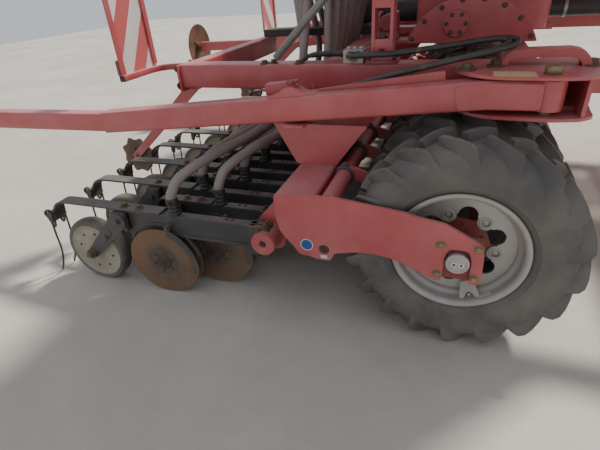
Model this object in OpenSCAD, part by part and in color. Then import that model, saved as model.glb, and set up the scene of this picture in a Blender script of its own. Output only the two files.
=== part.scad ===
// Folded seed drill, trailed, its marker arms laid back along both sides.
// Millimetres. X points forward, Y to the machine's left, Z up, ground at zero.
// Places along X are counted from the packer axle and moved by axle_x.

/* [Overall] */
// Width over the packer side plates
machine_width = 3000; // [2990:1:3010]
// Height of the main beams' underside
frame_under = 810; // [808:1:815]
// Size of the square main beams
beam_size = 100; // [96:1:104]
// Distance of each long beam from the middle
beam_y = 950; // [945:1:955]

/* [Packer] */
// Tyre radius over the lug tips
tyre_radius = 390; // [386:1:392]
// Tyre width over the side walls
tyre_width = 204; // [200:1:206]
// Lug pairs round one tyre
lug_pairs = 18; // [14:1:20]
// Radius of the rim's lip
rim_lip = 220.5; // [218:0.5:222]
// Diameter of the packer axle
axle_dia = 70; // [66:1:74]
// Diameter of the scraper pipe
scraper_pipe = 60; // [54:1:64]

/* [Coulters] */
// Diameter of the seed discs
disc_dia = 330; // [324:1:332]
// Diameter of the press wheels
press_dia = 320; // [316:1:324]
// Width of the press wheels
press_width = 65; // [60:1:66]
// Diameter of the coulter cross tube
bar_dia = 100; // [96:1:104]
// Thickness of the harrow tines
tine_dia = 10; // [8:0.5:12]

/* [Marker arms] */
// Height of the marker arm's tube
marker_tube = 90; // [86:1:92]
// Width of the marker arm's tube
marker_wide = 80; // [76:1:84]
// Droop of the laid back arm in degrees
marker_droop = 5.4; // [5.2:0.1:5.6]
// Droop of its outer tube in degrees
tip_droop = 1; // [0.5:0.1:1.5]
// Diameter of the pivot pin
pivot_dia = 40; // [36:1:44]

/* [Hopper] */
// Width of the hopper
hopper_width = 2400; // [2360:10:2440]
// Height of the hopper's rim
hopper_top = 2200; // [2180:5:2220]
// Sheet thickness of the hopper
sheet = 6; // [5:0.5:8]

/* [Fits] */
// Radial room of a turning fit
fit_room = 0.05; // [0.03:0.01:0.08]
// Air between pieces that pass each other
air_gap = 6; // [5:0.5:8]

/* [Hidden] */
axle_z = tyre_radius;
half_w = machine_width / 2;
plate_t = 12;
beam_top = frame_under + beam_size;
tyre_pitch = machine_width / 12;
side_in = half_w - plate_t;
cross_front = -476;
cross_rear = -626;
cross_low = 431;
cross_high = 571;
bar_x = -700;
bar_z = 340;
pipe_x = -432;
pipe_z = 552;
long_x = -1588;
short_x = -1388;
press_r = press_dia / 2;
disc_r = disc_dia / 2;
disc_z = disc_r + 2;
disc_ahead = 388;
arm_low = 300;
arm_high = 400;
disc_side = 32;
disc_t = 4;
boot_high = 60;
long_boot = 90;
short_boot = 40;
hose_dia = 44;
leaf_t = 10;
stub_dia = 25;
long_rows = [for (k = [5 : -1 : 0]) (k + 0.75) * tyre_pitch];
short_rows = [for (k = [5 : -1 : 0]) (k + 0.25) * tyre_pitch];
bearing_rows = [5.5 * tyre_pitch, 2 * tyre_pitch];
head_low = frame_under;
head_high = beam_top;
head_t = 10;
head_mid = (head_low + head_high) / 2;
head_rear = 100;
head_front = 200;
pivot_x = 200;
pivot_y = 1225;
marker_kink = 30;
marker_long = 1560;
marker_thin = 80;
marker_out = 960;
marker_disc_r = 200;
premark_y = 3.25 * tyre_pitch;
premark_x = -1308;
premark_z = 790;
premark_disc_x = -1800;
premark_disc_z = 370;
premark_disc_r = 110;
hopper_rear = -450;
hopper_front = 850;
hopper_half = hopper_width / 2;
hopper_break = 1640;
hinge_places = [-260, 600];
sump_z = 1150;
fan_x = 1120;
fan_y = 180;
fan_z = 1190;
stand_x = 1700;
stand_y = 170;
drum_x = -40;
drum_z = 822;
drum_r = 289;
drum_foot = 12;
board_x = -1584;
tower_x = -780;
outlet_z = 1600;
// The marker arm's free end, where its disc turns
tip_x = marker_kink - marker_long * cos(marker_droop);
tip_z = head_mid - marker_long * sin(marker_droop);
disc_end_x = tip_x - marker_out * cos(tip_droop);
disc_end_z = tip_z - marker_out * sin(tip_droop);
end_cap = 78;
// The shelf that the laid back arm rests over
saddle_x = -660;
saddle_z = head_mid - (marker_kink - saddle_x) * tan(marker_droop)
           - marker_tube / 2 / cos(marker_droop) - air_gap;
pedestal_top = saddle_z - 10;
// The machine's middle lies under the frame's zero point
eye_x = 2680;
eye_r = 65;
axle_x = -(eye_x + eye_r + disc_end_x - end_cap) / 2;

module place() {
    translate([axle_x, 0, 0]) children();
}

module both_sides() {
    children();
    mirror([0, 1, 0]) children();
}

module block(x0, x1, y0, y1, z0, z1) {
    translate([x0, y0, z0]) cube([x1 - x0, y1 - y0, z1 - z0]);
}

module rod_y(x, z, y0, y1, d) {
    translate([x, y0, z]) rotate([-90, 0, 0]) cylinder(h = y1 - y0, d = d, $fn = 48);
}

module rod_z(x, y, z0, z1, d) {
    translate([x, y, z0]) cylinder(h = z1 - z0, d = d, $fn = 48);
}

// A flat shape drawn in X and Z, given thickness from y0 to y1
module slab(y0, y1) {
    translate([0, y1, 0]) rotate([90, 0, 0]) linear_extrude(height = y1 - y0) children();
}

// A flat shape drawn in Y and Z, given thickness from x0 to x1
module slab_x(x0, x1) {
    translate([x0, 0, 0]) rotate([90, 0, 90]) linear_extrude(height = x1 - x0) children();
}

// A round bar from point a to point b
module bar(a, b, d) {
    v = b - a;
    len = norm(v);
    az = atan2(v[1], v[0]);
    el = acos(v[2] / len);
    translate(a) rotate([0, el, az]) cylinder(h = len, d = d, $fn = 32);
}

// Main frame
module head_outline() {
    polygon([[-84, -1125], [-76, -1158], [-60, -1190], [-36, -1222], [-7, -1248], [22, -1265],
             [54, -1274], [212, -1286], [290, -1270], [330, -1236], [351, -955], [338, -928],
             [313, -915], [246, -912], [200, -950], [130, -1022], [-13, -1022], [-60, -1060]]);
}

module head_plates() {
    // plates over and under the marker arm, the lower one on a spacer
    translate([0, 0, head_high]) linear_extrude(height = head_t) head_outline();
    translate([0, 0, head_low - 2 * head_t]) linear_extrude(height = head_t) head_outline();
    block(120, 330, -pivot_y + marker_wide / 2 + 15, -beam_y - 45, head_low - head_t, head_low);
    block(290, 302, -1262, -1000, head_low - head_t, head_high);
    rod_z(pivot_x, -pivot_y, head_low - 2 * head_t, head_high + head_t + 14, pivot_dia);
    rod_z(pivot_x, -pivot_y, head_high + head_t, head_high + head_t + 8, pivot_dia + 24);
    // handle bent from flat bar, standing on the upper plate
    slab(-1104, -1062)
    polygon([[58, head_high], [82, head_high + 48], [92, head_high + 56], [258, head_high + 58],
             [286, head_high + 52], [306, head_high + 34], [318, head_high],
             [306, head_high], [294, head_high + 30], [278, head_high + 44],
             [256, head_high + 49], [95, head_high + 47], [90, head_high + 42],
             [70, head_high]]);
}

module saddle() {
    // shelf under the laid back marker arm, with an upright hook on its inner side
    inner = -pivot_y + marker_wide / 2 + air_gap;
    block(saddle_x, -580, -1280, -beam_y - 50, saddle_z - 10, saddle_z);
    slab(inner, inner + 12)
    polygon([[saddle_x, saddle_z], [-580, saddle_z], [-590, saddle_z + 60],
             [-636, saddle_z + 126], [-648, saddle_z + 134], [-765, saddle_z + 122],
             [-756, saddle_z + 66], [-690, saddle_z + 56]]);
    slab(inner + 12, inner + 54)
    polygon([[-642, saddle_z + 134], [-765, saddle_z + 122], [-765, saddle_z + 112],
             [-642, saddle_z + 124]]);
    slab_x(-626, -614) polygon([[inner + 12, saddle_z], [-1060, saddle_z],
                                [inner + 20, saddle_z + 90], [inner + 12, saddle_z + 90]]);
    block(-626, -614, -beam_y - 62, -beam_y - 50, saddle_z, frame_under + 20);
}

module premark_lugs() {
    // two lugs with the pin that the small disc's arm turns on
    for (y = [-premark_y - 24, -premark_y + 32]) {
        block(premark_x - 32, -1262, y, y + 10, premark_z - 25, premark_z + 25);
    }
    rod_y(premark_x, premark_z, -premark_y - 24, -premark_y + 42, 20);
}

module main_frame() {
    color([0.72, 0.16, 0.17])
    place()
    union() {
        both_sides() {
            block(-1250, 1350, -beam_y - 50, -beam_y + 50, frame_under, beam_top);
            block(-1262, -1250, -beam_y - 65, -beam_y + 65, frame_under - 15, beam_top);
            head_plates();
            saddle();
            premark_lugs();
        }
        block(-1262, -1200, -beam_y, beam_y, frame_under, beam_top);
        block(-600, -500, -beam_y, beam_y, frame_under, beam_top);
        block(head_rear, head_front, -beam_y, beam_y, frame_under, beam_top);
        block(1250, 1350, -beam_y, beam_y, frame_under, beam_top);
        block(1230, 1350, -260, 260, frame_under - 20, beam_top + 20);
        block(fan_x - 60, fan_x + 60, -beam_y, beam_y, beam_top - 40, beam_top);
    }
}

// Packer frame
module side_outline() {
    polygon([[-626, 571], [-626, 491], [-616, 430], [-588, 391], [-570, 372], [-542, 332],
             [-500, 330], [-478, 322], [-425, 322], [-412, 356], [-338, 373], [-267, 376],
             [-209, 367], [-164, 352], [-113, 327], [-70, 306], [-42, 306], [-42, 400],
             [-30, 434], [30, 434], [42, 400], [42, 306], [66, 306], [80, 330], [76, 416],
             [70, 459], [44, 473], [-51, 524], [-129, 536], [-173, 549], [-315, 566],
             [-413, 579]]);
}

module side_plate() {
    difference() {
        slab(-half_w, -side_in) side_outline();
        rod_y(-449, 366, -half_w - 5, -side_in + 5, 40);
    }
    // bearing block with its bore round the axle
    difference() {
        block(-75, 75, -side_in, -side_in + 28, axle_z - 75, axle_z + 75);
        rod_y(0, axle_z, -side_in - 5, -side_in + 40, axle_dia + 2 * fit_room);
    }
}

module middle_plate() {
    difference() {
        slab(-8, 8) polygon([[-626, 571], [-476, 571], [-120, 500], [60, 470], [75, 440],
                             [75, 330], [60, 315], [-75, 315], [-300, 400], [-476, 431],
                             [-626, 431]]);
        rod_y(0, axle_z, -20, 20, axle_dia + 2 * fit_room);
        rod_y(pipe_x, pipe_z, -20, 20, scraper_pipe);
    }
}

module pedestal() {
    // outer and inner plates with the sloped flanges between them
    top = pedestal_top;
    slab(-1215, -1205) polygon([[-636, 571], [-476, 571], [-353, top], [-726, top]]);
    slab(-1000, -990) polygon([[-636, 571], [-476, 571], [-297, frame_under],
                               [-767, frame_under]]);
    slab(-1205, -1000) polygon([[-476, 571], [-353, top], [-366, top], [-489, 571]]);
    slab(-1205, -1000) polygon([[-636, 571], [-726, top], [-713, top], [-623, 571]]);
    block(-726, -353, -1215, -1000, top - 10, top);
}

module bar_bearing(y) {
    difference() {
        union() {
            rod_y(bar_x, bar_z, y - 20, y + 20, bar_dia + 50);
            slab(y - 20, y + 20) polygon([[bar_x - 30, bar_z + 60], [bar_x + 60, bar_z - 30],
                                          [-600, cross_low], [-600, 540], [-626, 560],
                                          [-660, 500]]);
        }
        rod_y(bar_x, bar_z, y - 30, y + 30, bar_dia + 2 * fit_room);
    }
}

module packer_frame() {
    color([0.72, 0.16, 0.17])
    place()
    union() {
        block(cross_rear, cross_front, -side_in, side_in, cross_low, cross_high);
        middle_plate();
        both_sides() {
            side_plate();
            pedestal();
            for (y = bearing_rows) {
                bar_bearing(-y);
            }
        }
    }
}

// Packer wheels
module packer_axle() {
    color([0.5, 0.5, 0.48])
    place()
    union() {
        rod_y(0, axle_z, -half_w - 8, half_w + 8, axle_dia);
        both_sides() rod_y(0, axle_z, -half_w - 16, -half_w - 8, axle_dia - 10);
    }
}

module hub_star() {
    difference() {
        union() {
            circle(r = 100, $fn = 64);
            for (a = [52 : 60 : 352]) {
                rotate(a) translate([0, -24]) square([150, 48]);
            }
        }
        circle(d = axle_dia + 2 * fit_room, $fn = 64);
    }
}

module packer_hubs() {
    color([0.66, 0.14, 0.15])
    place()
    for (i = [-5.5 : 1 : 5.5]) {
        y = i * tyre_pitch;
        s = i < 0 ? 1 : -1;
        translate([0, y, axle_z]) mirror([0, i < 0 ? 0 : 1, 0]) {
            slab(-12, -4) hub_star();
            difference() {
                rod_y(0, 0, -4, 60, 110);
                rod_y(0, 0, -10, 70, axle_dia + 2 * fit_room);
            }
        }
    }
}

module rim_barrel() {
    rotate([90, 0, 0])
    rotate_extrude($fn = 96)
    polygon([[rim_lip - 16, -70], [rim_lip, -73], [rim_lip, -79], [rim_lip - 3, -81],
             [rim_lip - 22, -78], [rim_lip - 22, -40], [182, -32], [182, 36],
             [rim_lip - 22, 44], [rim_lip - 22, 78], [rim_lip - 3, 81], [rim_lip, 79],
             [rim_lip, 73], [rim_lip - 16, 70], [rim_lip - 16, 48], [189, 38], [189, -34],
             [rim_lip - 16, -44]]);
}

module rim_disc() {
    difference() {
        circle(r = 183, $fn = 96);
        // six round lobes between six ears, each ear with a round hole
        difference() {
            circle(r = 126, $fn = 96);
            for (a = [52 : 60 : 352]) {
                rotate(a) translate([122, 0]) circle(r = 28, $fn = 48);
            }
        }
        for (a = [22 : 60 : 322]) {
            rotate(a) translate([121, 0]) circle(r = 31, $fn = 48);
            rotate(a + 30) translate([120, 0]) circle(r = 14, $fn = 32);
        }
    }
}

module packer_rims() {
    color([0.5, 0.5, 0.48])
    place()
    for (i = [-5.5 : 1 : 5.5]) {
        translate([0, i * tyre_pitch, axle_z]) mirror([0, i < 0 ? 0 : 1, 0]) {
            rim_barrel();
            slab(-20, -12) rim_disc();
        }
    }
}

module carcass() {
    h = tyre_width / 2;
    rotate([90, 0, 0])
    rotate_extrude($fn = 72)
    polygon([[rim_lip - 15.5, -69], [rim_lip + 2, -69], [238, -h + 12], [290, -h],
             [tyre_radius - 52, -h + 4], [tyre_radius - 34, -h + 18], [tyre_radius - 24, 0],
             [tyre_radius - 34, h - 18], [tyre_radius - 52, h - 4], [290, h],
             [238, h - 12], [rim_lip + 2, 69], [rim_lip - 15.5, 69]]);
}

module lug(side) {
    top = sqrt(tyre_radius * tyre_radius - 66 * 66);
    translate([0, 0, tyre_radius - 52])
    linear_extrude(height = top - tyre_radius + 52)
    polygon([[-62, side * 4], [-34, side * 4], [66, side * (tyre_width / 2 - 2)],
             [30, side * (tyre_width / 2 - 2)]]);
}

module packer_tyres() {
    color([0.1, 0.1, 0.1])
    place()
    for (i = [-5.5 : 1 : 5.5]) {
        translate([0, i * tyre_pitch, axle_z]) {
            carcass();
            for (k = [0 : lug_pairs - 1]) {
                rotate([0, k * 360 / lug_pairs, 0]) lug(1);
                rotate([0, (k + 0.5) * 360 / lug_pairs, 0]) lug(-1);
            }
        }
    }
}

module scraper_bar() {
    color([0.72, 0.16, 0.17])
    place()
    rod_y(pipe_x, pipe_z, -side_in, side_in, scraper_pipe);
}

module scraper_blades() {
    color([0.08, 0.08, 0.08])
    place()
    for (i = [-5 : 5]) {
        if (i != 0) {
            y = i * tyre_pitch;
            difference() {
                union() {
                    rod_y(pipe_x, pipe_z, y - 18, y + 18, scraper_pipe + 16);
                    slab(y - 6, y + 6)
                    polygon([[-432, 552], [-428, 585], [-330, 565], [-300, 545], [-305, 530],
                             [-400, 530]]);
                    rod_z(pipe_x + 8, y, 585, 606, 16);
                }
                rod_y(pipe_x, pipe_z, y - 30, y + 30, scraper_pipe + 2 * fit_room);
            }
        }
    }
}

// Coulters
module coulter_frame() {
    color([0.72, 0.16, 0.17])
    place()
    union() {
        rod_y(bar_x, bar_z, -side_in + 16, side_in - 16, bar_dia);
        both_sides() {
            // end plate with the hole that a lifting pin goes through
            difference() {
                rod_y(bar_x, bar_z, -side_in + 4, -side_in + 16, bar_dia - 4);
                rod_y(bar_x, bar_z, -side_in, -side_in + 12, 30);
            }
        }
    }
}

module press_bracket(x, y) {
    // flat bar from the arm down to the press wheel's stub
    slab(y - press_width / 2 - 14, y - press_width / 2 - 6)
    polygon([[x + 240, 392], [x + 160, 392], [x - 22, press_r + 14], [x - 20, press_r - 14],
             [x + 12, press_r - 22], [x + 30, press_r - 6], [x + 250, 305]]);
    rod_y(x, press_r, y - press_width / 2 - 26, y - press_width / 2 - 6, 44);
    rod_y(x, press_r, y - press_width / 2 - 6, y + press_width / 2 + 6, stub_dia);
    rod_y(x, press_r, y + press_width / 2 + 6, y + press_width / 2 + 14, 36);
}

module arm_body(x, y, boot) {
    // clamp round the cross tube, channel arm, disc leg, hub boss and hose boot
    dx = x + disc_ahead;
    difference() {
        union() {
            block(bar_x - 70, bar_x + 20, y - 27, y + 27, bar_z - 66, arm_high);
            block(x + 205, bar_x, y - 20, y + 20, arm_low, arm_high);
            block(x + 170, x + 240, y - 40, y + 20, arm_low + 5, arm_high - 8);
            rod_y(dx + 62, arm_high - 52, y - disc_side - 7, y + disc_side + 7, 26);
        }
        rod_y(bar_x, bar_z, y - 60, y + 60, bar_dia);
        block(x + 270, dx + 40, y - 21, y - 13, arm_low + 38, arm_high - 10);
        block(dx + 84, bar_x - 80, y - 21, y - 13, arm_low + 12, arm_high - 10);
    }
    slab(y - 10, y + 10)
    polygon([[dx + 60, arm_low + 5], [dx + 30, disc_z - 20], [dx - 10, disc_z - 35],
             [dx - 60, disc_z - 20], [dx - 130, disc_z + 12], [dx - 142, disc_z + 30],
             [x + 215, arm_low + 5]]);
    rod_y(dx, disc_z, y - 14, y + 14, 60);
    rod_z(x + disc_ahead + boot, y, arm_high, arm_high + 22, 54);
    rod_z(x + disc_ahead + boot, y, arm_high + 22, arm_high + boot_high, 46);
    disc_scraper(dx, y);
    press_bracket(x, y);
}

module disc_scraper(x, y) {
    // curved bands along the discs' front edges, held by the boss on the arm
    for (y0 = [y - disc_side - 7, y + disc_side + 3]) {
        translate([x, 0, disc_z])
        slab(y0, y0 + 4)
        intersection() {
            difference() {
                circle(r = disc_r + 22, $fn = 96);
                circle(r = disc_r - 18, $fn = 96);
            }
            polygon([[0, 0], [300, -70], [300, 300], [92, 300]]);
        }
    }
}

module leaf_long(x, y) {
    // flat spring over the press wheel with its end bent down
    slab(y - 30, y + 30)
    polygon([[x + 420, arm_high], [x + 420, arm_high + leaf_t], [x - 110, arm_high + leaf_t],
             [x - 150, arm_high - 2], [x - 180, arm_high - 34], [x - 190, 345],
             [x - 190, 300], [x - 180, 300], [x - 180, 342], [x - 170, arm_high - 38],
             [x - 142, arm_high - 10],
             [x - 108, arm_high]]);
}

module leaf_short(x, y) {
    // flat spring that ends in a hoop
    slab(y - 25, y + 25)
    difference() {
        union() {
            translate([x + 150, arm_high]) square([240, leaf_t]);
            translate([x + 150, arm_high - 30]) circle(r = 40, $fn = 48);
        }
        translate([x + 150, arm_high - 30]) circle(r = 30, $fn = 48);
        translate([x + 152, arm_high - 80]) square([60, 80]);
    }
}

module coulter_arms_long() {
    color([0.09, 0.09, 0.1])
    place()
    for (s = [-1, 1]) {
        for (r = long_rows) {
            union() {
                arm_body(long_x, s * r, long_boot);
                leaf_long(long_x, s * r);
            }
        }
    }
}

module coulter_arms_short() {
    color([0.09, 0.09, 0.1])
    place()
    for (s = [-1, 1]) {
        for (r = short_rows) {
            union() {
                arm_body(short_x, s * r, short_boot);
                leaf_short(short_x, s * r);
            }
        }
    }
}

module disc_pair(x, y) {
    for (s = [-1, 1]) {
        translate([x, y, disc_z]) mirror([0, s > 0 ? 0 : 1, 0]) {
            rod_y(0, 0, 14, disc_side + 12, 70);
            rotate([0, 0, -4.5])
            rod_y(0, 0, disc_side - disc_t / 2, disc_side + disc_t / 2, disc_dia);
        }
    }
}

module seed_discs() {
    color([0.45, 0.25, 0.15])
    place()
    for (s = [-1, 1]) {
        for (r = long_rows) {
            disc_pair(long_x + disc_ahead, s * r);
        }
        for (r = short_rows) {
            disc_pair(short_x + disc_ahead, s * r);
        }
    }
}

module press_wheel(x, y) {
    w = press_width / 2;
    translate([x, y, press_r])
    difference() {
        rotate([90, 0, 0])
        rotate_extrude($fn = 64)
        polygon([[stub_dia / 2 + fit_room, -w], [30, -w], [34, -w + 14], [70, -w + 20],
                 [118, -w + 6], [128, -w], [press_r - 8, -w], [press_r, -w + 8],
                 [press_r, w - 8], [press_r - 8, w], [128, w], [118, w - 6], [70, w - 20],
                 [34, w - 14], [30, w], [stub_dia / 2 + fit_room, w]]);
        for (a = [0 : 45 : 315]) {
            rod_y(88 * cos(a), 88 * sin(a), -w - 5, w + 5, 14);
        }
    }
}

module press_wheels_long() {
    color([0.16, 0.16, 0.16])
    place()
    for (s = [-1, 1]) {
        for (r = long_rows) {
            press_wheel(long_x, s * r);
        }
    }
}

module press_wheels_short() {
    color([0.16, 0.16, 0.16])
    place()
    for (s = [-1, 1]) {
        for (r = short_rows) {
            press_wheel(short_x, s * r);
        }
    }
}

module tine_pair(x, y) {
    block(x - 215, x - 190, y - 42, y + 42, 300, 345);
    for (s = [-1, 1]) {
        bar([x - 202, y + s * 34, 310], [x - 212, y + s * 36, 130], tine_dia);
        bar([x - 212, y + s * 36, 131], [x - 262, y + s * 38, 8], tine_dia);
    }
}

module harrow_tines() {
    color([0.2, 0.18, 0.17])
    place()
    for (s = [-1, 1]) {
        for (r = long_rows) {
            union() tine_pair(long_x, s * r);
        }
    }
}

// Marker arms, drawn for the right side
// A point on the drooping part, a along it from the kink and h above its middle line
function droop_point(a, h) =
    [marker_kink - a * cos(marker_droop) - h * sin(marker_droop),
     head_mid - a * sin(marker_droop) + h * cos(marker_droop)];

// The same on the outer tube, a counted from the thick tube's end
function tip_point(a, h) =
    [tip_x - a * cos(tip_droop) - h * sin(tip_droop),
     tip_z - a * sin(tip_droop) + h * cos(tip_droop)];

module marker_arm() {
    half = marker_tube / 2;
    side = marker_wide / 2;
    thin = marker_thin / 2;
    mitre = half * tan(marker_droop / 2);
    difference() {
        union() {
            slab(-pivot_y - side, -pivot_y + side)
            polygon([[pivot_x, head_mid - half], [pivot_x, head_mid + half],
                     [marker_kink - mitre, head_mid + half], droop_point(marker_long, half),
                     droop_point(marker_long, -half), [marker_kink + mitre, head_mid - half]]);
            rod_z(pivot_x, -pivot_y, head_mid - half, head_mid + half, marker_wide + 10);
        }
        rod_z(pivot_x, -pivot_y, head_mid - 60, head_mid + 60, pivot_dia + 2 * fit_room);
    }
    // thinner outer tube pushed into the thick one
    slab(-pivot_y - side + 6, -pivot_y + side - 6)
    polygon([tip_point(-40, thin), tip_point(marker_out, thin), tip_point(marker_out, -thin),
             tip_point(-40, -thin)]);
    // rib that rises along the inner edge towards the head
    slab(-pivot_y + side - 16, -pivot_y + side - 1)
    polygon([droop_point(130, half - 8), droop_point(130, half + 30),
             droop_point(590, half + 6), droop_point(590, half - 8)]);
    // curved catch on top, over the shelf
    slab(-pivot_y - side + 10, -pivot_y + side - 10)
    polygon([droop_point(770, half - 4), droop_point(740, half + 5), droop_point(712, half + 16),
             droop_point(690, half + 29), droop_point(672, half + 34),
             droop_point(650, half + 34), droop_point(632, half + 24),
             droop_point(610, half + 11), droop_point(575, half + 4),
             droop_point(560, half - 4)]);
}

module marker_end() {
    translate([disc_end_x - 70, -pivot_y, disc_end_z]) rotate([0, 90, 0])
    cylinder(h = 90, d = 30, $fn = 40);
    translate([disc_end_x - end_cap, -pivot_y, disc_end_z]) rotate([0, 90, 0])
    cylinder(h = 8, d = 48, $fn = 40);
}

module marker_arm_right() {
    color([0.72, 0.16, 0.17])
    place()
    union() {
        marker_arm();
        marker_end();
    }
}

module marker_arm_left() {
    color([0.72, 0.16, 0.17])
    place()
    mirror([0, 1, 0])
    union() {
        marker_arm();
        marker_end();
    }
}

module marker_disc() {
    translate([disc_end_x - 66, -pivot_y, disc_end_z]) rotate([0, 90, 0])
    rotate_extrude($fn = 64)
    polygon([[15 + fit_room, 0], [15 + fit_room, 44], [40, 44], [40, 16], [90, 14],
             [marker_disc_r, 38], [marker_disc_r, 34], [90, 8], [40, 0]]);
}

module marker_disc_right() {
    color([0.4, 0.24, 0.16])
    place()
    marker_disc();
}

module marker_disc_left() {
    color([0.4, 0.24, 0.16])
    place()
    mirror([0, 1, 0]) marker_disc();
}

// Small notched discs behind the harrow
module premark_arm() {
    dx = premark_disc_x - premark_x;
    dz = premark_disc_z - premark_z;
    len = sqrt(dx * dx + dz * dz);
    ang = atan2(dz, dx);
    y0 = -premark_y;
    difference() {
        union() {
            translate([premark_x, 0, premark_z])
            slab(y0, y0 + 10)
            rotate(ang) translate([0, -20]) square([len, 40]);
            rod_y(premark_x, premark_z, y0, y0 + 10, 60);
        }
        rod_y(premark_x, premark_z, y0 - 5, y0 + 15, 20 + 2 * fit_room);
    }
    rod_y(premark_disc_x, premark_disc_z, y0 + 10, y0 + 32, 20);
    rod_y(premark_disc_x, premark_disc_z, y0 + 32, y0 + 38, 34);
}

module premark_disc() {
    translate([premark_disc_x, -premark_y, premark_disc_z])
    slab(18, 24)
    difference() {
        circle(r = premark_disc_r, $fn = 64);
        for (a = [0 : 45 : 315]) {
            rotate(a) translate([premark_disc_r + 4, 0]) circle(r = 22, $fn = 32);
        }
        circle(r = 10 + fit_room, $fn = 40);
    }
}

module premark_arm_right() {
    color([0.72, 0.16, 0.17])
    place()
    union() premark_arm();
}

module premark_arm_left() {
    color([0.72, 0.16, 0.17])
    place()
    mirror([0, 1, 0]) union() premark_arm();
}

module premark_disc_right() {
    color([0.4, 0.24, 0.16])
    place()
    premark_disc();
}

module premark_disc_left() {
    color([0.4, 0.24, 0.16])
    place()
    mirror([0, 1, 0]) premark_disc();
}

// Drawbar, eye and parking leg
module drawbar() {
    color([0.72, 0.16, 0.17])
    place()
    union() {
        slab(-70, 70) polygon([[1360, 780], [1360, 940], [1460, 940], [1980, 660], [2560, 600],
                               [2560, 480], [1960, 520], [1440, 780]]);
        block(1350, 1372, -240, 240, 760, 950);
        both_sides() {
            linear_extrude_brace();
        }
        // sleeve of the parking leg
        difference() {
            block(stand_x - 50, stand_x + 50, -stand_y - 50, -70, 560, 800);
            block(stand_x - 30.3, stand_x + 30.3, -stand_y - 30.3, -stand_y + 30.3, 550, 810);
        }
    }
}

module linear_extrude_brace() {
    translate([0, 0, 790])
    linear_extrude(height = 60)
    polygon([[1350, -240], [1350, -180], [1640, -60], [1700, -60]]);
}

module hitch_eye() {
    color([0.3, 0.3, 0.3])
    place()
    union() {
        block(2560, 2640, -30, 30, 510, 570);
        difference() {
            rod_z(eye_x, 0, 515, 565, 2 * eye_r);
            rod_z(eye_x, 0, 500, 580, 50);
        }
    }
}

module parking_leg() {
    color([0.25, 0.25, 0.26])
    place()
    union() {
        block(stand_x - 30, stand_x + 30, -stand_y - 30, -stand_y + 30, 12, 880);
        block(stand_x - 110, stand_x + 110, -stand_y - 90, -stand_y + 90, 0, 12);
    }
}

// Hopper, lid and metering
module hopper_shell(t) {
    // the body narrows from the break down to the sump
    a = t;
    rotate([90, 0, 0]) translate([0, 0, -hopper_half + t])
    linear_extrude(height = hopper_width - 2 * t)
    polygon([[hopper_rear + a, hopper_break], [hopper_rear + a, hopper_top + (t > 0 ? 10 : 0)],
             [hopper_front - a, hopper_top + (t > 0 ? 10 : 0)],
             [hopper_front - a, hopper_break], [300 - a, sump_z + 1.5 * t],
             [-300 + a, sump_z + 1.5 * t]]);
}

module hopper() {
    color([0.72, 0.16, 0.17])
    place()
    union() {
        difference() {
            intersection() {
                hopper_shell(0);
                hopper_sides(0);
            }
            intersection() {
                hopper_shell(sheet);
                hopper_sides(sheet);
            }
        }
        for (x = hinge_places) {
            hinge_barrel(x - 30, x + 30, 18);
            hinge_barrel(x + 30, x + 90, 8);
            block(x - 30, x + 30, hopper_half - 2, hopper_half + 12, hopper_top - 60,
                  hopper_top);
            block(x - 30, x + 30, hopper_half + 5, hopper_half + 12, hopper_top - 60,
                  hopper_top + 6);
        }
    }
}

module hopper_sides(t) {
    // the ends slope in to the sump as well
    rotate([90, 0, 90]) translate([0, 0, hopper_rear - 10])
    linear_extrude(height = hopper_front - hopper_rear + 20)
    polygon([[-hopper_half + t, hopper_break - 100], [-hopper_half + t, hopper_top + 20],
             [hopper_half - t, hopper_top + 20], [hopper_half - t, hopper_break - 100],
             [300 - t, sump_z - 20], [-300 + t, sump_z - 20]]);
}

module hopper_stand() {
    // four posts cut to the hopper's sloping sides
    color([0.72, 0.16, 0.17])
    place()
    difference() {
        both_sides() {
            for (x = [-350, 750]) {
                block(x - 40, x + 40, -beam_y - 40, -beam_y + 40, beam_top + 12, hopper_break);
                block(x - 60, x + 60, -beam_y - 50, -beam_y + 50, beam_top, beam_top + 12);
            }
        }
        intersection() {
            hopper_shell(0);
            hopper_sides(0);
        }
    }
}

// Hinge of the lid along the hopper's left edge
module hinge_barrel(x0, x1, d) {
    translate([x0, hopper_half + 18, hopper_top + 6]) rotate([0, 90, 0])
    cylinder(h = x1 - x0, d = d, $fn = 32);
}

module hopper_lid() {
    color([0.12, 0.12, 0.13])
    place()
    union() {
        block(hopper_rear - 10, hopper_front + 10, -hopper_half - 10, hopper_half + 4,
              hopper_top + 0.3, hopper_top + 12);
        for (x = hinge_places) {
            difference() {
                union() {
                    hinge_barrel(x + 30.3, x + 90, 18);
                    block(x + 30.3, x + 90, hopper_half, hopper_half + 18, hopper_top + 3,
                          hopper_top + 9);
                }
                hinge_barrel(x, x + 100, 8 + 2 * fit_room);
            }
        }
        slab(-hopper_half + 200, hopper_half - 200)
        polygon([[hopper_rear + 60, hopper_top + 12], [hopper_rear + 180, hopper_top + 70],
                 [hopper_front - 180, hopper_top + 70], [hopper_front - 60, hopper_top + 12]]);
    }
}

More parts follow.
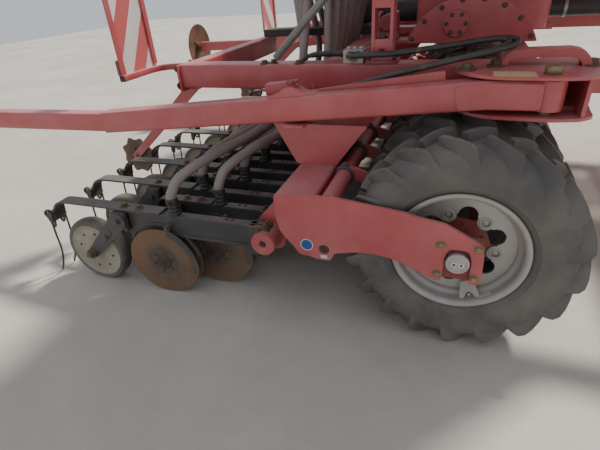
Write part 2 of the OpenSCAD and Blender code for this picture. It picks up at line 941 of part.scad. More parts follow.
module metering_unit() {
    foot = beam_top + drum_foot;
    color([0.72, 0.16, 0.17])
    place()
    union() {
        translate([0, 0, beam_top + 30]) linear_extrude(height = sump_z - beam_top - 30)
        offset(r = 60, $fn = 32) square([480, 480], center = true);
        block(-545, 360, -60, 60, beam_top, beam_top + 30);
        // drum housing on its right side, cut flat over the frame
        difference() {
            rod_y(drum_x, drum_z, -560, -280, 2 * drum_r);
            block(drum_x - 400, drum_x + 400, -600, -200, drum_z - 400, foot);
        }
        rod_y(drum_x - 60, 1000, -576, -555, 110);
        // drive motor between two plates
        block(-450, drum_x, -540, -420, foot, foot + 12);
        for (x = [-450, -372]) {
            block(x, x + 12, -540, -420, foot, foot + 130);
        }
        rod_y(-405, foot + 86, -550, -410, 72);
    }
}

// Fan and air path
module fan_housing() {
    color([0.72, 0.16, 0.17])
    place()
    union() {
        difference() {
            rod_y(fan_x, fan_z, fan_y - 90, fan_y + 90, 520);
            rod_y(fan_x, fan_z, fan_y - 84, fan_y + 84, 508);
            rod_y(fan_x, fan_z, fan_y + 70, fan_y + 100, 280);
            block(fan_x - 300, fan_x, fan_y - 80, fan_y + 80, fan_z - 254, fan_z - 140);
        }
        difference() {
            block(fan_x - 330, fan_x - 60, fan_y - 90, fan_y + 90, fan_z - 260, fan_z - 130);
            block(fan_x - 340, fan_x, fan_y - 84, fan_y + 84, fan_z - 254, fan_z - 136);
            rod_y(fan_x, fan_z, fan_y - 100, fan_y + 100, 508);
        }
        // motor and its foot
        rod_y(fan_x, fan_z, fan_y - 210, fan_y - 90, 130);
        rod_y(fan_x, fan_z, fan_y - 90, fan_y + 30, 24);
        block(fan_x - 60, fan_x + 60, fan_y - 90, fan_y + 90, beam_top, fan_z - 255);
    }
}

module fan_rotor() {
    color([0.3, 0.3, 0.3])
    place()
    translate([fan_x, fan_y, fan_z])
    difference() {
        union() {
            slab(-60, -54) circle(r = 215, $fn = 64);
            slab(-54, 40) circle(r = 40, $fn = 48);
            for (a = [0 : 30 : 330]) {
                slab(-54, 40) rotate(a) translate([110, -3]) square([100, 6]);
            }
            slab(34, 40) difference() {
                circle(r = 215, $fn = 64);
                circle(r = 112, $fn = 64);
            }
        }
        rod_y(0, 0, -100, 100, 24 + 2 * fit_room);
    }
}

module air_pipe() {
    color([0.12, 0.12, 0.12])
    place()
    union() {
        block(fan_x - 336, fan_x - 330, fan_y - 90, fan_y + 90, fan_z - 260, fan_z - 130);
        bar([300, fan_y, fan_z - 195], [fan_x - 333, fan_y, fan_z - 195], 100);
        bar([420, fan_y, fan_z - 195], [450, fan_y, fan_z - 195], 116);
        bar([660, fan_y, fan_z - 195], [690, fan_y, fan_z - 195], 116);
    }
}

module distributor() {
    color([0.1, 0.1, 0.11])
    place()
    union() {
        rod_z(tower_x, 0, beam_top + 40, 1560, 120);
        rod_z(tower_x, 0, 1560, 1640, 300);
        rod_z(tower_x, 0, 1640, 1665, 220);
        block(-1240, -550, -60, 60, beam_top, beam_top + 40);
        bar([tower_x, 0, 1020], [-300, 0, 1020], 110);
        for (a = [7.5 : 15 : 352.5]) {
            translate([tower_x, 0, outlet_z]) rotate([0, 90, a])
            translate([0, 0, 120]) cylinder(h = 70, d = 36, $fn = 24);
        }
    }
}

// A round hose swept along points, one ring of corners at each
function unit(v) = v / norm(v);
function tangent(p, i) = unit(p[min(i + 1, len(p) - 1)] - p[max(i - 1, 0)]);
function ring(c, t, side, r, n) =
    let (u = unit(cross(t, side)), w = cross(t, u))
    [for (k = [0 : n - 1]) c + r * (cos(360 * k / n) * u + sin(360 * k / n) * w)];

module swept(p, side, d, n) {
    m = len(p);
    pts = [for (i = [0 : m - 1]) each ring(p[i], tangent(p, i), side, d / 2, n)];
    walls = [for (i = [0 : m - 2]) for (k = [0 : n - 1])
             [i * n + k, i * n + (k + 1) % n, (i + 1) * n + (k + 1) % n, (i + 1) * n + k]];
    first = [for (k = [n - 1 : -1 : 0]) k];
    last = [for (k = [0 : n - 1]) (m - 1) * n + k];
    polyhedron(points = pts, faces = concat(walls, [first], [last]));
}

// Route of one seed hose from its outlet to the boot on its coulter
function hose_route(i, ahead, yb) =
    let (a = ahead ? 352.5 - 15 * i : 187.5 + 15 * i,
         c = cos(a), q = sin(a),
         xb = ahead ? short_x + disc_ahead + short_boot : long_x + disc_ahead + long_boot,
         xg = ahead ? -645 - 8 * i : -950 + 30 * i,
         yg = ahead ? 120 + 88 * i : 150 + 90 * i,
         zb = arm_high + boot_high, dx = xb - xg, dy = yb - yg)
    [[tower_x + 190 * c, 190 * q, outlet_z],
     [tower_x + 228 * c, 228 * q, outlet_z],
     [tower_x + 262 * c, 262 * q, outlet_z - 40],
     [tower_x + 270 * c, 270 * q, outlet_z - 130],
     [(tower_x + 270 * c + xg) / 2, (270 * q - yg) / 2, 1180],
     [xg, -yg, 880],
     [xg + 0.03 * dx, -yg - 0.07 * dy, 745],
     [xg + 0.16 * dx, -yg - 0.24 * dy, 655],
     [xg + 0.4 * dx, -yg - 0.5 * dy, 610],
     [xg + 0.68 * dx, -yg - 0.77 * dy, 588],
     [xg + 0.9 * dx, -yg - 0.94 * dy, 550],
     [xb + 8, -yb + 7, zb + 44],
     [xb, -yb, zb + 14],
     [xb, -yb, zb]];

module seed_hoses() {
    color([0.25, 0.23, 0.21])
    place()
    both_sides() {
        for (i = [0 : 5]) {
            swept(hose_route(i, false, long_rows[5 - i]), [-sin(187.5 + 15 * i),
                  cos(187.5 + 15 * i), 0], hose_dia, 8);
            swept(hose_route(i, true, short_rows[5 - i]), [-sin(352.5 - 15 * i),
                  cos(352.5 - 15 * i), 0], hose_dia, 8);
        }
    }
}

// Steps at the front left
module steps() {
    color([0.12, 0.12, 0.12])
    place()
    union() {
        for (y = [560, 940]) {
            block(1350, 1390, y - 20, y + 20, 380, 1150);
        }
        for (z = [400, 650, 900]) {
            block(1350, 1470, 580, 920, z, z + 25);
        }
        block(870, 1390, 540, 960, 1150, 1180);
        block(880, 920, 920, 960, beam_top, 1150);
        block(1080, 1120, 540, 580, beam_top, 1150);
    }
}

// Boards, lamps and their carriers
module board_carriers() {
    color([0.09, 0.09, 0.1])
    place()
    both_sides() {
        union() {
            block(board_x + 14, -560, -beam_y - 20, -beam_y + 20, beam_top, beam_top + 40);
            block(board_x, board_x + 14, -1000, -718, beam_top - 80, beam_top + 120);
        }
    }
}

module warning_boards() {
    color([0.85, 0.82, 0.8])
    place()
    both_sides() {
        block(board_x - 6, board_x, -1000, -718, beam_top - 80, beam_top + 484);
    }
}

module rear_lamps() {
    color([0.6, 0.05, 0.05])
    place()
    both_sides() {
        block(board_x - 46, board_x - 6, -980, -870, beam_top - 60, beam_top + 20);
    }
}

module hydraulic_block() {
    color([0.55, 0.5, 0.5])
    place()
    union() {
        block(-500, -420, -beam_y - 40, -beam_y + 40, beam_top, beam_top + 60);
        for (x = [-485, -460, -435]) {
            rod_z(x, -beam_y, beam_top + 60, beam_top + 84, 18);
        }
    }
}

// Two hoses loop forward from the block and come back beside the marker arm
function hydraulic_route(k) =
    let (y = -beam_y - 68 - 24 * k, w = -pivot_y + 65 + 24 * k, z = beam_top + 34,
         x = -438 - 34 * k, f = 104 - 26 * k, q = y - 14)
    [[x, -beam_y - 40.2, z], [x, -beam_y - 50 - 20 * k, z], [x + 30, y, z + 2],
     [-300, y, z + 6], [-120, y - 6, z + 20], [10, q, z + 36],
     [f - 20, 0.75 * q + 0.25 * w, z + 42], [f, 0.5 * q + 0.5 * w, z + 40],
     [f - 20, 0.25 * q + 0.75 * w, z + 36], [10, w, z + 26], [-120, w, z + 10],
     [-330, w, z], [-460, w, z - 26], [-535, w + 4, z - 70], [-555, w + 14, z - 130],
     [-560, w + 16, pedestal_top + 14],
     [-560.1, w + 16.1, pedestal_top + 0.5]];

module hydraulic_hoses() {
    color([0.06, 0.06, 0.06])
    place()
    for (k = [0, 1]) {
        swept(hydraulic_route(k), [0, 0, 1], 16, 8);
    }
}

module hose_springs() {
    color([0.35, 0.35, 0.35])
    place()
    both_sides() bar([-797, -beam_y - 36, beam_top + 13], [-404, -beam_y - 20, 1306], 26);
}

main_frame();
packer_frame();
packer_axle();
packer_hubs();
packer_rims();
packer_tyres();
scraper_bar();
scraper_blades();
coulter_frame();
coulter_arms_long();
coulter_arms_short();
seed_discs();
press_wheels_long();
press_wheels_short();
harrow_tines();
marker_arm_right();
marker_arm_left();
marker_disc_right();
marker_disc_left();
premark_arm_right();
premark_arm_left();
premark_disc_right();
premark_disc_left();
drawbar();
hitch_eye();
parking_leg();
hopper();
hopper_stand();
hopper_lid();
metering_unit();
fan_housing();
fan_rotor();
air_pipe();
distributor();
seed_hoses();
steps();
board_carriers();
warning_boards();
rear_lamps();
hydraulic_block();
hydraulic_hoses();
hose_springs();
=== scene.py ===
# Folded seed drill, dressed for the render
# Shapes are drawn in millimetres with X counted from the packer axle,
# and become metres when set down

import math

import bmesh
import bpy
from mathutils import Matrix, Vector
from mathutils.geometry import tessellate_polygon


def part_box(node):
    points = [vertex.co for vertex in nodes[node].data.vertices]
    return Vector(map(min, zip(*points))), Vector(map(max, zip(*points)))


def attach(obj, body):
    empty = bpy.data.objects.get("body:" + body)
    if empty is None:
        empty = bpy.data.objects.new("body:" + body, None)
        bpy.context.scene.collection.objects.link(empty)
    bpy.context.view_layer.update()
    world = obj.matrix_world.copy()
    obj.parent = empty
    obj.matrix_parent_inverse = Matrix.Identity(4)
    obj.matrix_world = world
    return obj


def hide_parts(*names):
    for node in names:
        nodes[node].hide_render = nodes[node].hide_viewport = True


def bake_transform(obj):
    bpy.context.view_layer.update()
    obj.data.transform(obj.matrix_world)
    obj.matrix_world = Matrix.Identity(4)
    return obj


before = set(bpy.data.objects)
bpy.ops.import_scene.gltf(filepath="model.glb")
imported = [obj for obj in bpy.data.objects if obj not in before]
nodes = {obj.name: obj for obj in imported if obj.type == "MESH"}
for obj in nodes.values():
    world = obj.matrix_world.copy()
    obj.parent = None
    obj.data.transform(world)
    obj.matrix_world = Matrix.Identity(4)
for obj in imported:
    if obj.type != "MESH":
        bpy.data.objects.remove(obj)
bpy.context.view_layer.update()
axle_low, axle_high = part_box("packer_axle")
AXLE_X = (axle_low.x + axle_high.x) / 2


# Camera at the photograph's place

def set_camera():
    lens = bpy.data.cameras.new("yard_view")
    lens.sensor_width = 36.0
    lens.lens = 25.236
    lens.clip_start = 0.05
    view = bpy.data.objects.new("yard_view", lens)
    bpy.context.scene.collection.objects.link(view)
    right = Vector((0.9434, 0.3260, -0.0622))
    up = Vector((-0.1139, 0.4941, 0.8620))
    ahead = Vector((-0.3117, 0.8060, -0.5032))
    turn = Matrix((right, up, -ahead)).transposed().to_4x4()
    view.matrix_world = Matrix.Translation((AXLE_X - 0.0698, -2.70, 1.2076)) @ turn
    bpy.context.scene.camera = view


set_camera()


# Shapes in the making

SIDES = ((-1, "right"), (1, "left"))


class Form:
    """Points and faces in millimetres."""

    def __init__(self):
        self.points = []
        self.faces = []

    def add(self, points, faces):
        start = len(self.points)
        self.points += [tuple(p) for p in points]
        self.faces += [tuple(start + i for i in f) for f in faces]

    def block(self, x0, x1, y0, y1, z0, z1):
        corners = [(x, y, z) for x in (x0, x1) for y in (y0, y1) for z in (z0, z1)]
        self.add(corners, [(0, 1, 3, 2), (4, 6, 7, 5), (0, 4, 5, 1), (2, 3, 7, 6),
                           (0, 2, 6, 4), (1, 5, 7, 3)])

    def slab(self, outline, low, high, holes=(), across="y"):
        """A flat outline given thickness along one axis, with its holes cut out."""
        loops = [list(outline)] + [list(h) for h in holes]
        flat = [p for loop in loops for p in loop]
        place = {"y": lambda p, t: (p[0], t, p[1]),
                 "x": lambda p, t: (t, p[0], p[1]),
                 "z": lambda p, t: (p[0], p[1], t)}[across]
        count = len(flat)
        points = [place(p, low) for p in flat] + [place(p, high) for p in flat]
        cuts = tessellate_polygon([[Vector((p[0], p[1], 0)) for p in loop] for loop in loops])
        faces = [tuple(f) for f in cuts]
        faces += [tuple(i + count for i in reversed(f)) for f in cuts]
        start = 0
        for loop in loops:
            n = len(loop)
            for k in range(n):
                a, b = start + k, start + (k + 1) % n
                faces.append((a, b, b + count, a + count))
            start += n
        self.add(points, faces)

    def turned(self, profile, at=(0, 0, 0), along="y", steps=48, closed=True):
        """A profile of (radius, distance) pairs turned round an axis through a point."""
        rings = []
        points = []
        for radius, far in profile:
            ring = []
            for k in range(1 if radius == 0 else steps):
                a = 2 * math.pi * k / steps
                c, s = radius * math.cos(a), radius * math.sin(a)
                p = {"y": (s, far, c), "x": (far, c, s), "z": (c, s, far)}[along]
                ring.append(len(points))
                points.append((at[0] + p[0], at[1] + p[1], at[2] + p[2]))
            rings.append(ring)
        pairs = list(zip(rings, rings[1:]))
        if closed:
            pairs.append((rings[-1], rings[0]))
        faces = []
        for a, b in pairs:
            for k in range(steps):
                j = (k + 1) % steps
                if len(a) == 1 and len(b) == 1:
                    break
                if len(a) == 1:
                    faces.append((a[0], b[k], b[j]))
                elif len(b) == 1:
                    faces.append((a[k], b[0], a[j]))
                else:
                    faces.append((a[k], b[k], b[j], a[j]))
        self.add(points, faces)

    def rod(self, a, b, radius, sides=20):
        self.tube([a, b], radius, sides)

    def tube(self, path, radius, sides=14):
        """A round bar or hose along a path; radius may change from point to point."""
        path = [Vector(p) for p in path]
        radii = radius if isinstance(radius, list) else [radius] * len(path)
        ways = []
        for i in range(len(path)):
            way = path[min(i + 1, len(path) - 1)] - path[max(i - 1, 0)]
            ways.append(way.normalized())
        side = ways[0].orthogonal().normalized()
        points = []
        for p, way, r in zip(path, ways, radii):
            side = (side - way * side.dot(way)).normalized()
            other = way.cross(side)
            for k in range(sides):
                a = 2 * math.pi * k / sides
                points.append(p + side * (r * math.cos(a)) + other * (r * math.sin(a)))
        faces = []
        for i in range(len(path) - 1):
            for k in range(sides):
                j = (k + 1) % sides
                faces.append((i * sides + k, i * sides + j, (i + 1) * sides + j,
                              (i + 1) * sides + k))
        faces.append(tuple(reversed(range(sides))))
        faces.append(tuple((len(path) - 1) * sides + k for k in range(sides)))
        self.add(points, faces)

    def strip(self, path, wide, thick):
        """A flat bar whose side view is a path in X and Z, wide in Y; path is (x, z) pairs."""
        top, low = [], []
        for i, (x, z) in enumerate(path):
            a = path[max(i - 1, 0)]
            b = path[min(i + 1, len(path) - 1)]
            run = Vector((b[0] - a[0], b[1] - a[1])).normalized()
            top.append((x - run.y * thick / 2, z + run.x * thick / 2))
            low.append((x + run.y * thick / 2, z - run.x * thick / 2))
        self.slab(top + low[::-1], -wide / 2, wide / 2)

    def bolt(self, at, size, head=None, along="-y", washer=True):
        """A hexagon head on its washer, standing out along one axis from a point on the face."""
        head = head or size * 0.65
        sign = -1 if along[0] == "-" else 1
        axis = along[-1]
        rise = 0.0
        if washer:
            rise = size * 0.16
            self.turned([(0, 0), (size * 1.05, 0), (size * 1.05, sign * rise), (0, sign * rise)],
                        at, axis, 20, False)
        r = size * 0.58 * 1.155
        chamfer = size * 0.1
        self.turned([(0, sign * rise), (r, sign * rise), (r, sign * (rise + head - chamfer)),
                     (r * 0.86, sign * (rise + head)), (0, sign * (rise + head))],
                    at, axis, 6, False)

    def moved(self, turn):
        """The same form carried by a matrix."""
        other = Form()
        other.points = [tuple(turn @ Vector(p)) for p in self.points]
        other.faces = list(self.faces)
        return other

    def join(self, other):
        self.add(other.points, other.faces)


def round_loop(x, z, r, steps=24, start=0.0):
    """A circle as a loop of points for an outline or a hole."""
    return [(x + r * math.cos(start + 2 * math.pi * k / steps),
             z + r * math.sin(start + 2 * math.pi * k / steps)) for k in range(steps)]


def eased(outline, r, steps=5):
    """An outline with its corners rounded."""
    loop = []
    n = len(outline)
    for i in range(n):
        before = Vector(outline[i - 1])
        here = Vector(outline[i])
        after = Vector(outline[(i + 1) % n])
        a = before - here
        b = after - here
        cut = min(r, a.length * 0.45, b.length * 0.45)
        p = here + a.normalized() * cut
        q = here + b.normalized() * cut
        for k in range(steps):
            t = k / (steps - 1)
            loop.append(tuple((1 - t) ** 2 * p + 2 * t * (1 - t) * here + t * t * q))
    return loop


def curved(points, per=8):
    """A smooth run through a few points."""
    pts = [Vector(p) for p in points]
    pts = [2 * pts[0] - pts[1]] + pts + [2 * pts[-1] - pts[-2]]
    run = []
    for i in range(1, len(pts) - 2):
        for k in range(per):
            t = k / per
            p0, p1, p2, p3 = pts[i - 1:i + 3]
            run.append(0.5 * (2 * p1 + (p2 - p0) * t + (2 * p0 - 5 * p1 + 4 * p2 - p3) * t * t
                              + (3 * p1 - p0 - 3 * p2 + p3) * t * t * t))
    run.append(pts[-2])
    return run


def evenly(path, step):
    """The same run in steps of one length."""
    out = [path[0]]
    left = step
    for a, b in zip(path, path[1:]):
        span = (b - a).length
        at = 0.0
        while span - at >= left:
            at += left
            out.append(a.lerp(b, at / span))
            left = step
        left -= span - at
    out.append(path[-1])
    return out


def made_mesh(form, name, material, sharp=35):
    """A closed mesh in metres with its faces pointing out."""
    mesh = bpy.data.meshes.new(name)
    mesh.from_pydata([(p[0] / 1000, p[1] / 1000, p[2] / 1000) for p in form.points], [],
                     form.faces)
    shell = bmesh.new()
    shell.from_mesh(mesh)
    bmesh.ops.recalc_face_normals(shell, faces=shell.faces)
    shell.to_mesh(mesh)
    shell.free()
    mesh.polygons.foreach_set("use_smooth", [True] * len(mesh.polygons))
    mesh.set_sharp_from_angle(angle=math.radians(sharp))
    mesh.materials.append(material)
    return mesh


def set_down(mesh, name, body, stands_for=(), at=(0, 0, 0), bevel=0.0, turn=None):
    """Puts a mesh in its place on the machine and fastens it to a body."""
    piece = bpy.data.objects.new(name, mesh)
    bpy.context.scene.collection.objects.link(piece)
    place = Matrix.Translation((AXLE_X + at[0] / 1000, at[1] / 1000, at[2] / 1000))
    piece.matrix_world = place @ turn if turn else place
    if bevel:
        edge = piece.modifiers.new("edge", "BEVEL")
        edge.width = bevel / 1000
        edge.segments = 2
        edge.limit_method = "ANGLE"
        edge.angle_limit = math.radians(40)
        edge.harden_normals = True
    if body:
        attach(piece, body)
    if stands_for:
        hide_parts(*stands_for)
    return piece


def placed(form, name, body, material, stands_for=(), bevel=0.0, sharp=35):
    """A one-off piece whose form is already drawn in its place."""
    mesh = made_mesh(form, name, material, sharp)
    return set_down(mesh, name, body, stands_for, bevel=bevel)


# Finishes

DUST = (0.36, 0.31, 0.25, 1)


def new_group(name, inputs, outputs):
    """A shader group with named sockets, and its own input and output nodes."""
    group = bpy.data.node_groups.new(name, "ShaderNodeTree")
    for label, kind, value in inputs:
        socket = group.interface.new_socket(name=label, in_out="INPUT",
                                            socket_type="NodeSocket" + kind)
        socket.default_value = value
    for label, kind in outputs:
        group.interface.new_socket(name=label, in_out="OUTPUT", socket_type="NodeSocket" + kind)
    return group, group.nodes.new("NodeGroupInput"), group.nodes.new("NodeGroupOutput")


def maths(tree, what, a, b=None, clamp=False):
    """One step of arithmetic; a and b are sockets or numbers."""
    step = tree.nodes.new("ShaderNodeMath")
    step.operation = what
    step.use_clamp = clamp
    for socket, value in zip(step.inputs, (a, b)):
        if isinstance(value, bpy.types.NodeSocket):
            tree.links.new(value, socket)
        elif value is not None:
            socket.default_value = value
    return step.outputs[0]


def noise(tree, where, scale, detail=4.0, rough=0.55):
    """A cloudy pattern; scale is a socket or a number."""
    cloud = tree.nodes.new("ShaderNodeTexNoise")
    cloud.inputs["Detail"].default_value = detail
    cloud.inputs["Roughness"].default_value = rough
    tree.links.new(where, cloud.inputs["Vector"])
    if isinstance(scale, bpy.types.NodeSocket):
        tree.links.new(scale, cloud.inputs["Scale"])
    else:
        cloud.inputs["Scale"].default_value = scale
    return cloud.outputs["Fac"]


def blended(tree, amount, first, second):
    """Mixes two colours; each is a socket or a colour."""
    mix = tree.nodes.new("ShaderNodeMix")
    mix.data_type = "RGBA"
    tree.links.new(amount, mix.inputs["Factor"])
    for value, socket in ((first, mix.inputs[6]), (second, mix.inputs[7])):
        if isinstance(value, bpy.types.NodeSocket):
            tree.links.new(value, socket)
        else:
            socket.default_value = value
    return mix.outputs[2]


def surface_place(tree):
    """Coordinates that stay with the piece and differ from one copy to the next."""
    where = tree.nodes.new("ShaderNodeTexCoord")
    which = tree.nodes.new("ShaderNodeObjectInfo")
    shift = tree.nodes.new("ShaderNodeVectorMath")
    shift.operation = "ADD"
    tree.links.new(where.outputs["Object"], shift.inputs[0])
    tree.links.new(maths(tree, "MULTIPLY", which.outputs["Random"], 13.0), shift.inputs[1])
    return shift.outputs[0]


def group_edge_chips():
    """Paint that has gone from the edges, in flakes."""
    group, given, out = new_group("edge chips",
                                  [("Width", "Float", 0.004), ("Amount", "Float", 0.5),
                                   ("Scale", "Float", 30.0)], [("Chips", "Float")])
    tree = group
    rim = tree.nodes.new("ShaderNodeBevel")
    rim.samples = 3
    tree.links.new(given.outputs["Width"], rim.inputs["Radius"])
    face = tree.nodes.new("ShaderNodeNewGeometry")
    lean = tree.nodes.new("ShaderNodeVectorMath")
    lean.operation = "DOT_PRODUCT"
    tree.links.new(rim.outputs["Normal"], lean.inputs[0])
    tree.links.new(face.outputs["Normal"], lean.inputs[1])
    edge = maths(tree, "SUBTRACT", 1.0, lean.outputs["Value"], True)
    edge = maths(tree, "MULTIPLY", edge, 5.0, True)
    where = surface_place(tree)
    flakes = noise(tree, where, given.outputs["Scale"], 5.0, 0.7)
    flakes = maths(tree, "SUBTRACT", flakes, 0.45, True)
    flakes = maths(tree, "MULTIPLY", flakes, 7.0, True)
    both = maths(tree, "MULTIPLY", edge, flakes)
    both = maths(tree, "MULTIPLY", both, given.outputs["Amount"], True)
    tree.links.new(both, out.inputs["Chips"])
    return group


def group_dust_and_top_sheen():
    """What faces up and what lies near the ground gathers dust; where its colour is pale it also
    paints a highlight on top faces.
    """
    group, given, out = new_group("dust and top sheen",
                                  [("Amount", "Float", 0.5), ("Scale", "Float", 6.0),
                                   ("Low", "Float", 0.5)], [("Dust and sheen", "Float")])
    tree = group
    face = tree.nodes.new("ShaderNodeNewGeometry")
    lean = tree.nodes.new("ShaderNodeSeparateXYZ")
    tree.links.new(face.outputs["Normal"], lean.inputs[0])
    high = tree.nodes.new("ShaderNodeSeparateXYZ")
    tree.links.new(face.outputs["Position"], high.inputs[0])
    up = maths(tree, "MAXIMUM", lean.outputs["Z"], 0.0)
    up = maths(tree, "POWER", up, 2.0)
    low = maths(tree, "DIVIDE", high.outputs["Z"], given.outputs["Low"])
    low = maths(tree, "SUBTRACT", 1.0, low, True)
    low = maths(tree, "MULTIPLY", low, 0.7)
    both = maths(tree, "ADD", maths(tree, "MULTIPLY", up, 0.75), low, True)
    where = surface_place(tree)
    cloud = noise(tree, where, given.outputs["Scale"], 6.0, 0.65)
    cloud = maths(tree, "MULTIPLY", maths(tree, "SUBTRACT", cloud, 0.3, True), 2.6, True)
    both = maths(tree, "ADD", both, 0.12)
    both = maths(tree, "MULTIPLY", both, cloud)
    both = maths(tree, "MULTIPLY", both, given.outputs["Amount"], True)
    tree.links.new(both, out.inputs["Dust and sheen"])
    return group


def group_mottled():
    """One colour clouding into another."""
    group, given, out = new_group("mottled colour",
                                  [("First", "Color", (0.5, 0.5, 0.5, 1)),
                                   ("Second", "Color", (0.4, 0.4, 0.4, 1)),
                                   ("Scale", "Float", 5.0)], [("Colour", "Color")])
    tree = group
    where = surface_place(tree)
    cloud = noise(tree, where, given.outputs["Scale"], 8.0, 0.62)
    cloud = maths(tree, "MULTIPLY", maths(tree, "SUBTRACT", cloud, 0.38, True), 4.0, True)
    tree.links.new(blended(tree, cloud, given.outputs["First"], given.outputs["Second"]),
                   out.inputs["Colour"])
    return group


def group_fine_grain():
    """Small unevenness of a surface, as a height."""
    group, given, out = new_group("fine grain",
                                  [("Scale", "Float", 200.0), ("Dents", "Float", 12.0)],
                                  [("Height", "Float")])
    tree = group
    where = surface_place(tree)
    small = noise(tree, where, given.outputs["Scale"], 3.0, 0.6)
    wide = noise(tree, where, given.outputs["Dents"], 2.0, 0.5)
    tree.links.new(maths(tree, "ADD", small, maths(tree, "MULTIPLY", wide, 2.0)),
                   out.inputs["Height"])
    return group


EDGE_CHIPS = group_edge_chips()
DUST_AND_TOP_SHEEN = group_dust_and_top_sheen()
MOTTLED = group_mottled()
FINE_GRAIN = group_fine_grain()


def use_group(tree, group, **values):
    box = tree.nodes.new("ShaderNodeGroup")
    box.node_tree = group
    for label, value in values.items():
        box.inputs[label].default_value = value
    return box


def finish(name, colour, second, rough=0.5, metal=0.0, bare=(0.09, 0.045, 0.025, 1), chips=0.0,
           chip_width=0.004, dust=0.4, dusty=DUST, dust_low=0.5, dust_scale=6.0, mottle=5.0,
           grain=220.0, dents=9.0, depth=0.0004, coat=0.0, pattern=None, relief=None):
    """One surface: its two colours, what shows at its worn edges, its dust (with a pale colour,
    also a painted highlight on top faces) and its grain.
    """
    stuff = bpy.data.materials.new(name)
    stuff.use_nodes = True
    tree = stuff.node_tree
    shader = tree.nodes["Principled BSDF"]
    tone = use_group(tree, MOTTLED, First=colour + (1,), Second=second + (1,), Scale=mottle)
    colour_now = tone.outputs["Colour"]
    if pattern:
        colour_now = pattern(tree, colour_now)
    if chips:
        worn = use_group(tree, EDGE_CHIPS, Width=chip_width, Amount=chips)
        colour_now = blended(tree, worn.outputs["Chips"], colour_now, bare)
    dust_and_sheen = use_group(tree, DUST_AND_TOP_SHEEN, Amount=dust, Low=dust_low, Scale=dust_scale)
    tree.links.new(blended(tree, dust_and_sheen.outputs["Dust and sheen"], colour_now, dusty),
                   shader.inputs["Base Color"])
    duller = maths(tree, "MULTIPLY", dust_and_sheen.outputs["Dust and sheen"], 0.9 - rough)
    tree.links.new(maths(tree, "ADD", duller, rough, True), shader.inputs["Roughness"])
    if metal:
        kept = maths(tree, "SUBTRACT", 1.0, dust_and_sheen.outputs["Dust and sheen"], True)
        tree.links.new(maths(tree, "MULTIPLY", kept, metal), shader.inputs["Metallic"])
    shader.inputs["Coat Weight"].default_value = coat
    shader.inputs["Coat Roughness"].default_value = 0.35
    height = use_group(tree, FINE_GRAIN, Scale=grain, Dents=dents).outputs["Height"]
    if relief:
        height = relief(tree, height)
    bump = tree.nodes.new("ShaderNodeBump")
    bump.inputs["Strength"].default_value = 0.6
    bump.inputs["Distance"].default_value = depth
    tree.links.new(height, bump.inputs["Height"])
    tree.links.new(bump.outputs["Normal"], shader.inputs["Normal"])
    return stuff


def board_stripes(lean):
    """Broad slanting bands for a warning board."""
    def pattern(tree, white):
        where = tree.nodes.new("ShaderNodeTexCoord")
        parts = tree.nodes.new("ShaderNodeSeparateXYZ")
        tree.links.new(where.outputs["Object"], parts.inputs[0])
        slope = maths(tree, "MULTIPLY", parts.outputs["Y"], 1.62 * lean)
        run = maths(tree, "ADD", parts.outputs["Z"], slope)
        run = maths(tree, "ADD", maths(tree, "MULTIPLY", run, 3.2), 0.53)
        run = maths(tree, "FRACT", run)
        band = maths(tree, "GREATER_THAN", run, 0.5)
        return blended(tree, band, white, (0.55, 0.13, 0.13, 1))
    return pattern


def worn_rings(tree, colour):
    """A seed disc is darker in its middle and orange-brown towards the edge."""
    where = tree.nodes.new("ShaderNodeTexCoord")
    flat = tree.nodes.new("ShaderNodeVectorMath")
    flat.operation = "MULTIPLY"
    flat.inputs[1].default_value = (1.0, 0.0, 1.0)
    tree.links.new(where.outputs["Object"], flat.inputs[0])
    far = tree.nodes.new("ShaderNodeVectorMath")
    far.operation = "LENGTH"
    tree.links.new(flat.outputs[0], far.inputs[0])
    ring = maths(tree, "MULTIPLY", maths(tree, "SUBTRACT", far.outputs["Value"], 0.098), 60.0, True)
    ring = maths(tree, "MULTIPLY", ring, 0.55)
    middle = blended(tree, maths(tree, "MULTIPLY", ring, 1.0), colour, (0.24, 0.125, 0.062, 1))
    inner = maths(tree, "SUBTRACT", 0.082, far.outputs["Value"], True)
    inner = maths(tree, "MULTIPLY", inner, 70.0, True)
    return blended(tree, maths(tree, "MULTIPLY", inner, 0.6), middle, (0.075, 0.062, 0.055, 1))


# the pale pink that gathers on up-facing faces is partly dust and partly a painted highlight of
# sunlit tops
RED = finish("frame red", (0.44, 0.062, 0.070), (0.50, 0.098, 0.103), rough=0.36, chips=0.8,
             dust=0.6, coat=0.45, depth=0.0003, dusty=(0.52, 0.40, 0.38, 1))
HUB_RED = finish("hub red", (0.26, 0.030, 0.032), (0.19, 0.035, 0.032), rough=0.5, chips=0.4,
                 dust=0.6)
WHEEL_GREY = finish("wheel grey", (0.46, 0.45, 0.44), (0.38, 0.36, 0.33), rough=0.45, metal=0.25,
                    dust=0.5, dust_low=0.9, depth=0.0003)
STEEL = finish("bare steel", (0.42, 0.41, 0.39), (0.30, 0.28, 0.25), rough=0.42, metal=0.85,
               dust=0.4)
ZINC = finish("yellow zinc", (0.36, 0.30, 0.16), (0.22, 0.17, 0.09), rough=0.42, metal=0.7,
              dust=0.4, mottle=60.0)
DARK_BOLT = finish("dark bolt", (0.10, 0.085, 0.06), (0.17, 0.10, 0.055), rough=0.6, metal=0.5,
                   dust=0.4, mottle=60.0)
RUST = finish("rusty disc", (0.17, 0.075, 0.038), (0.085, 0.042, 0.026), rough=0.75, metal=0.25,
              dust=0.35, mottle=14.0, depth=0.0006)
RUSTY_DISC = finish("worn disc", (0.19, 0.115, 0.078), (0.12, 0.080, 0.062), rough=0.6, metal=0.25,
                    dust=0.3, mottle=10.0, depth=0.0005, pattern=worn_rings)
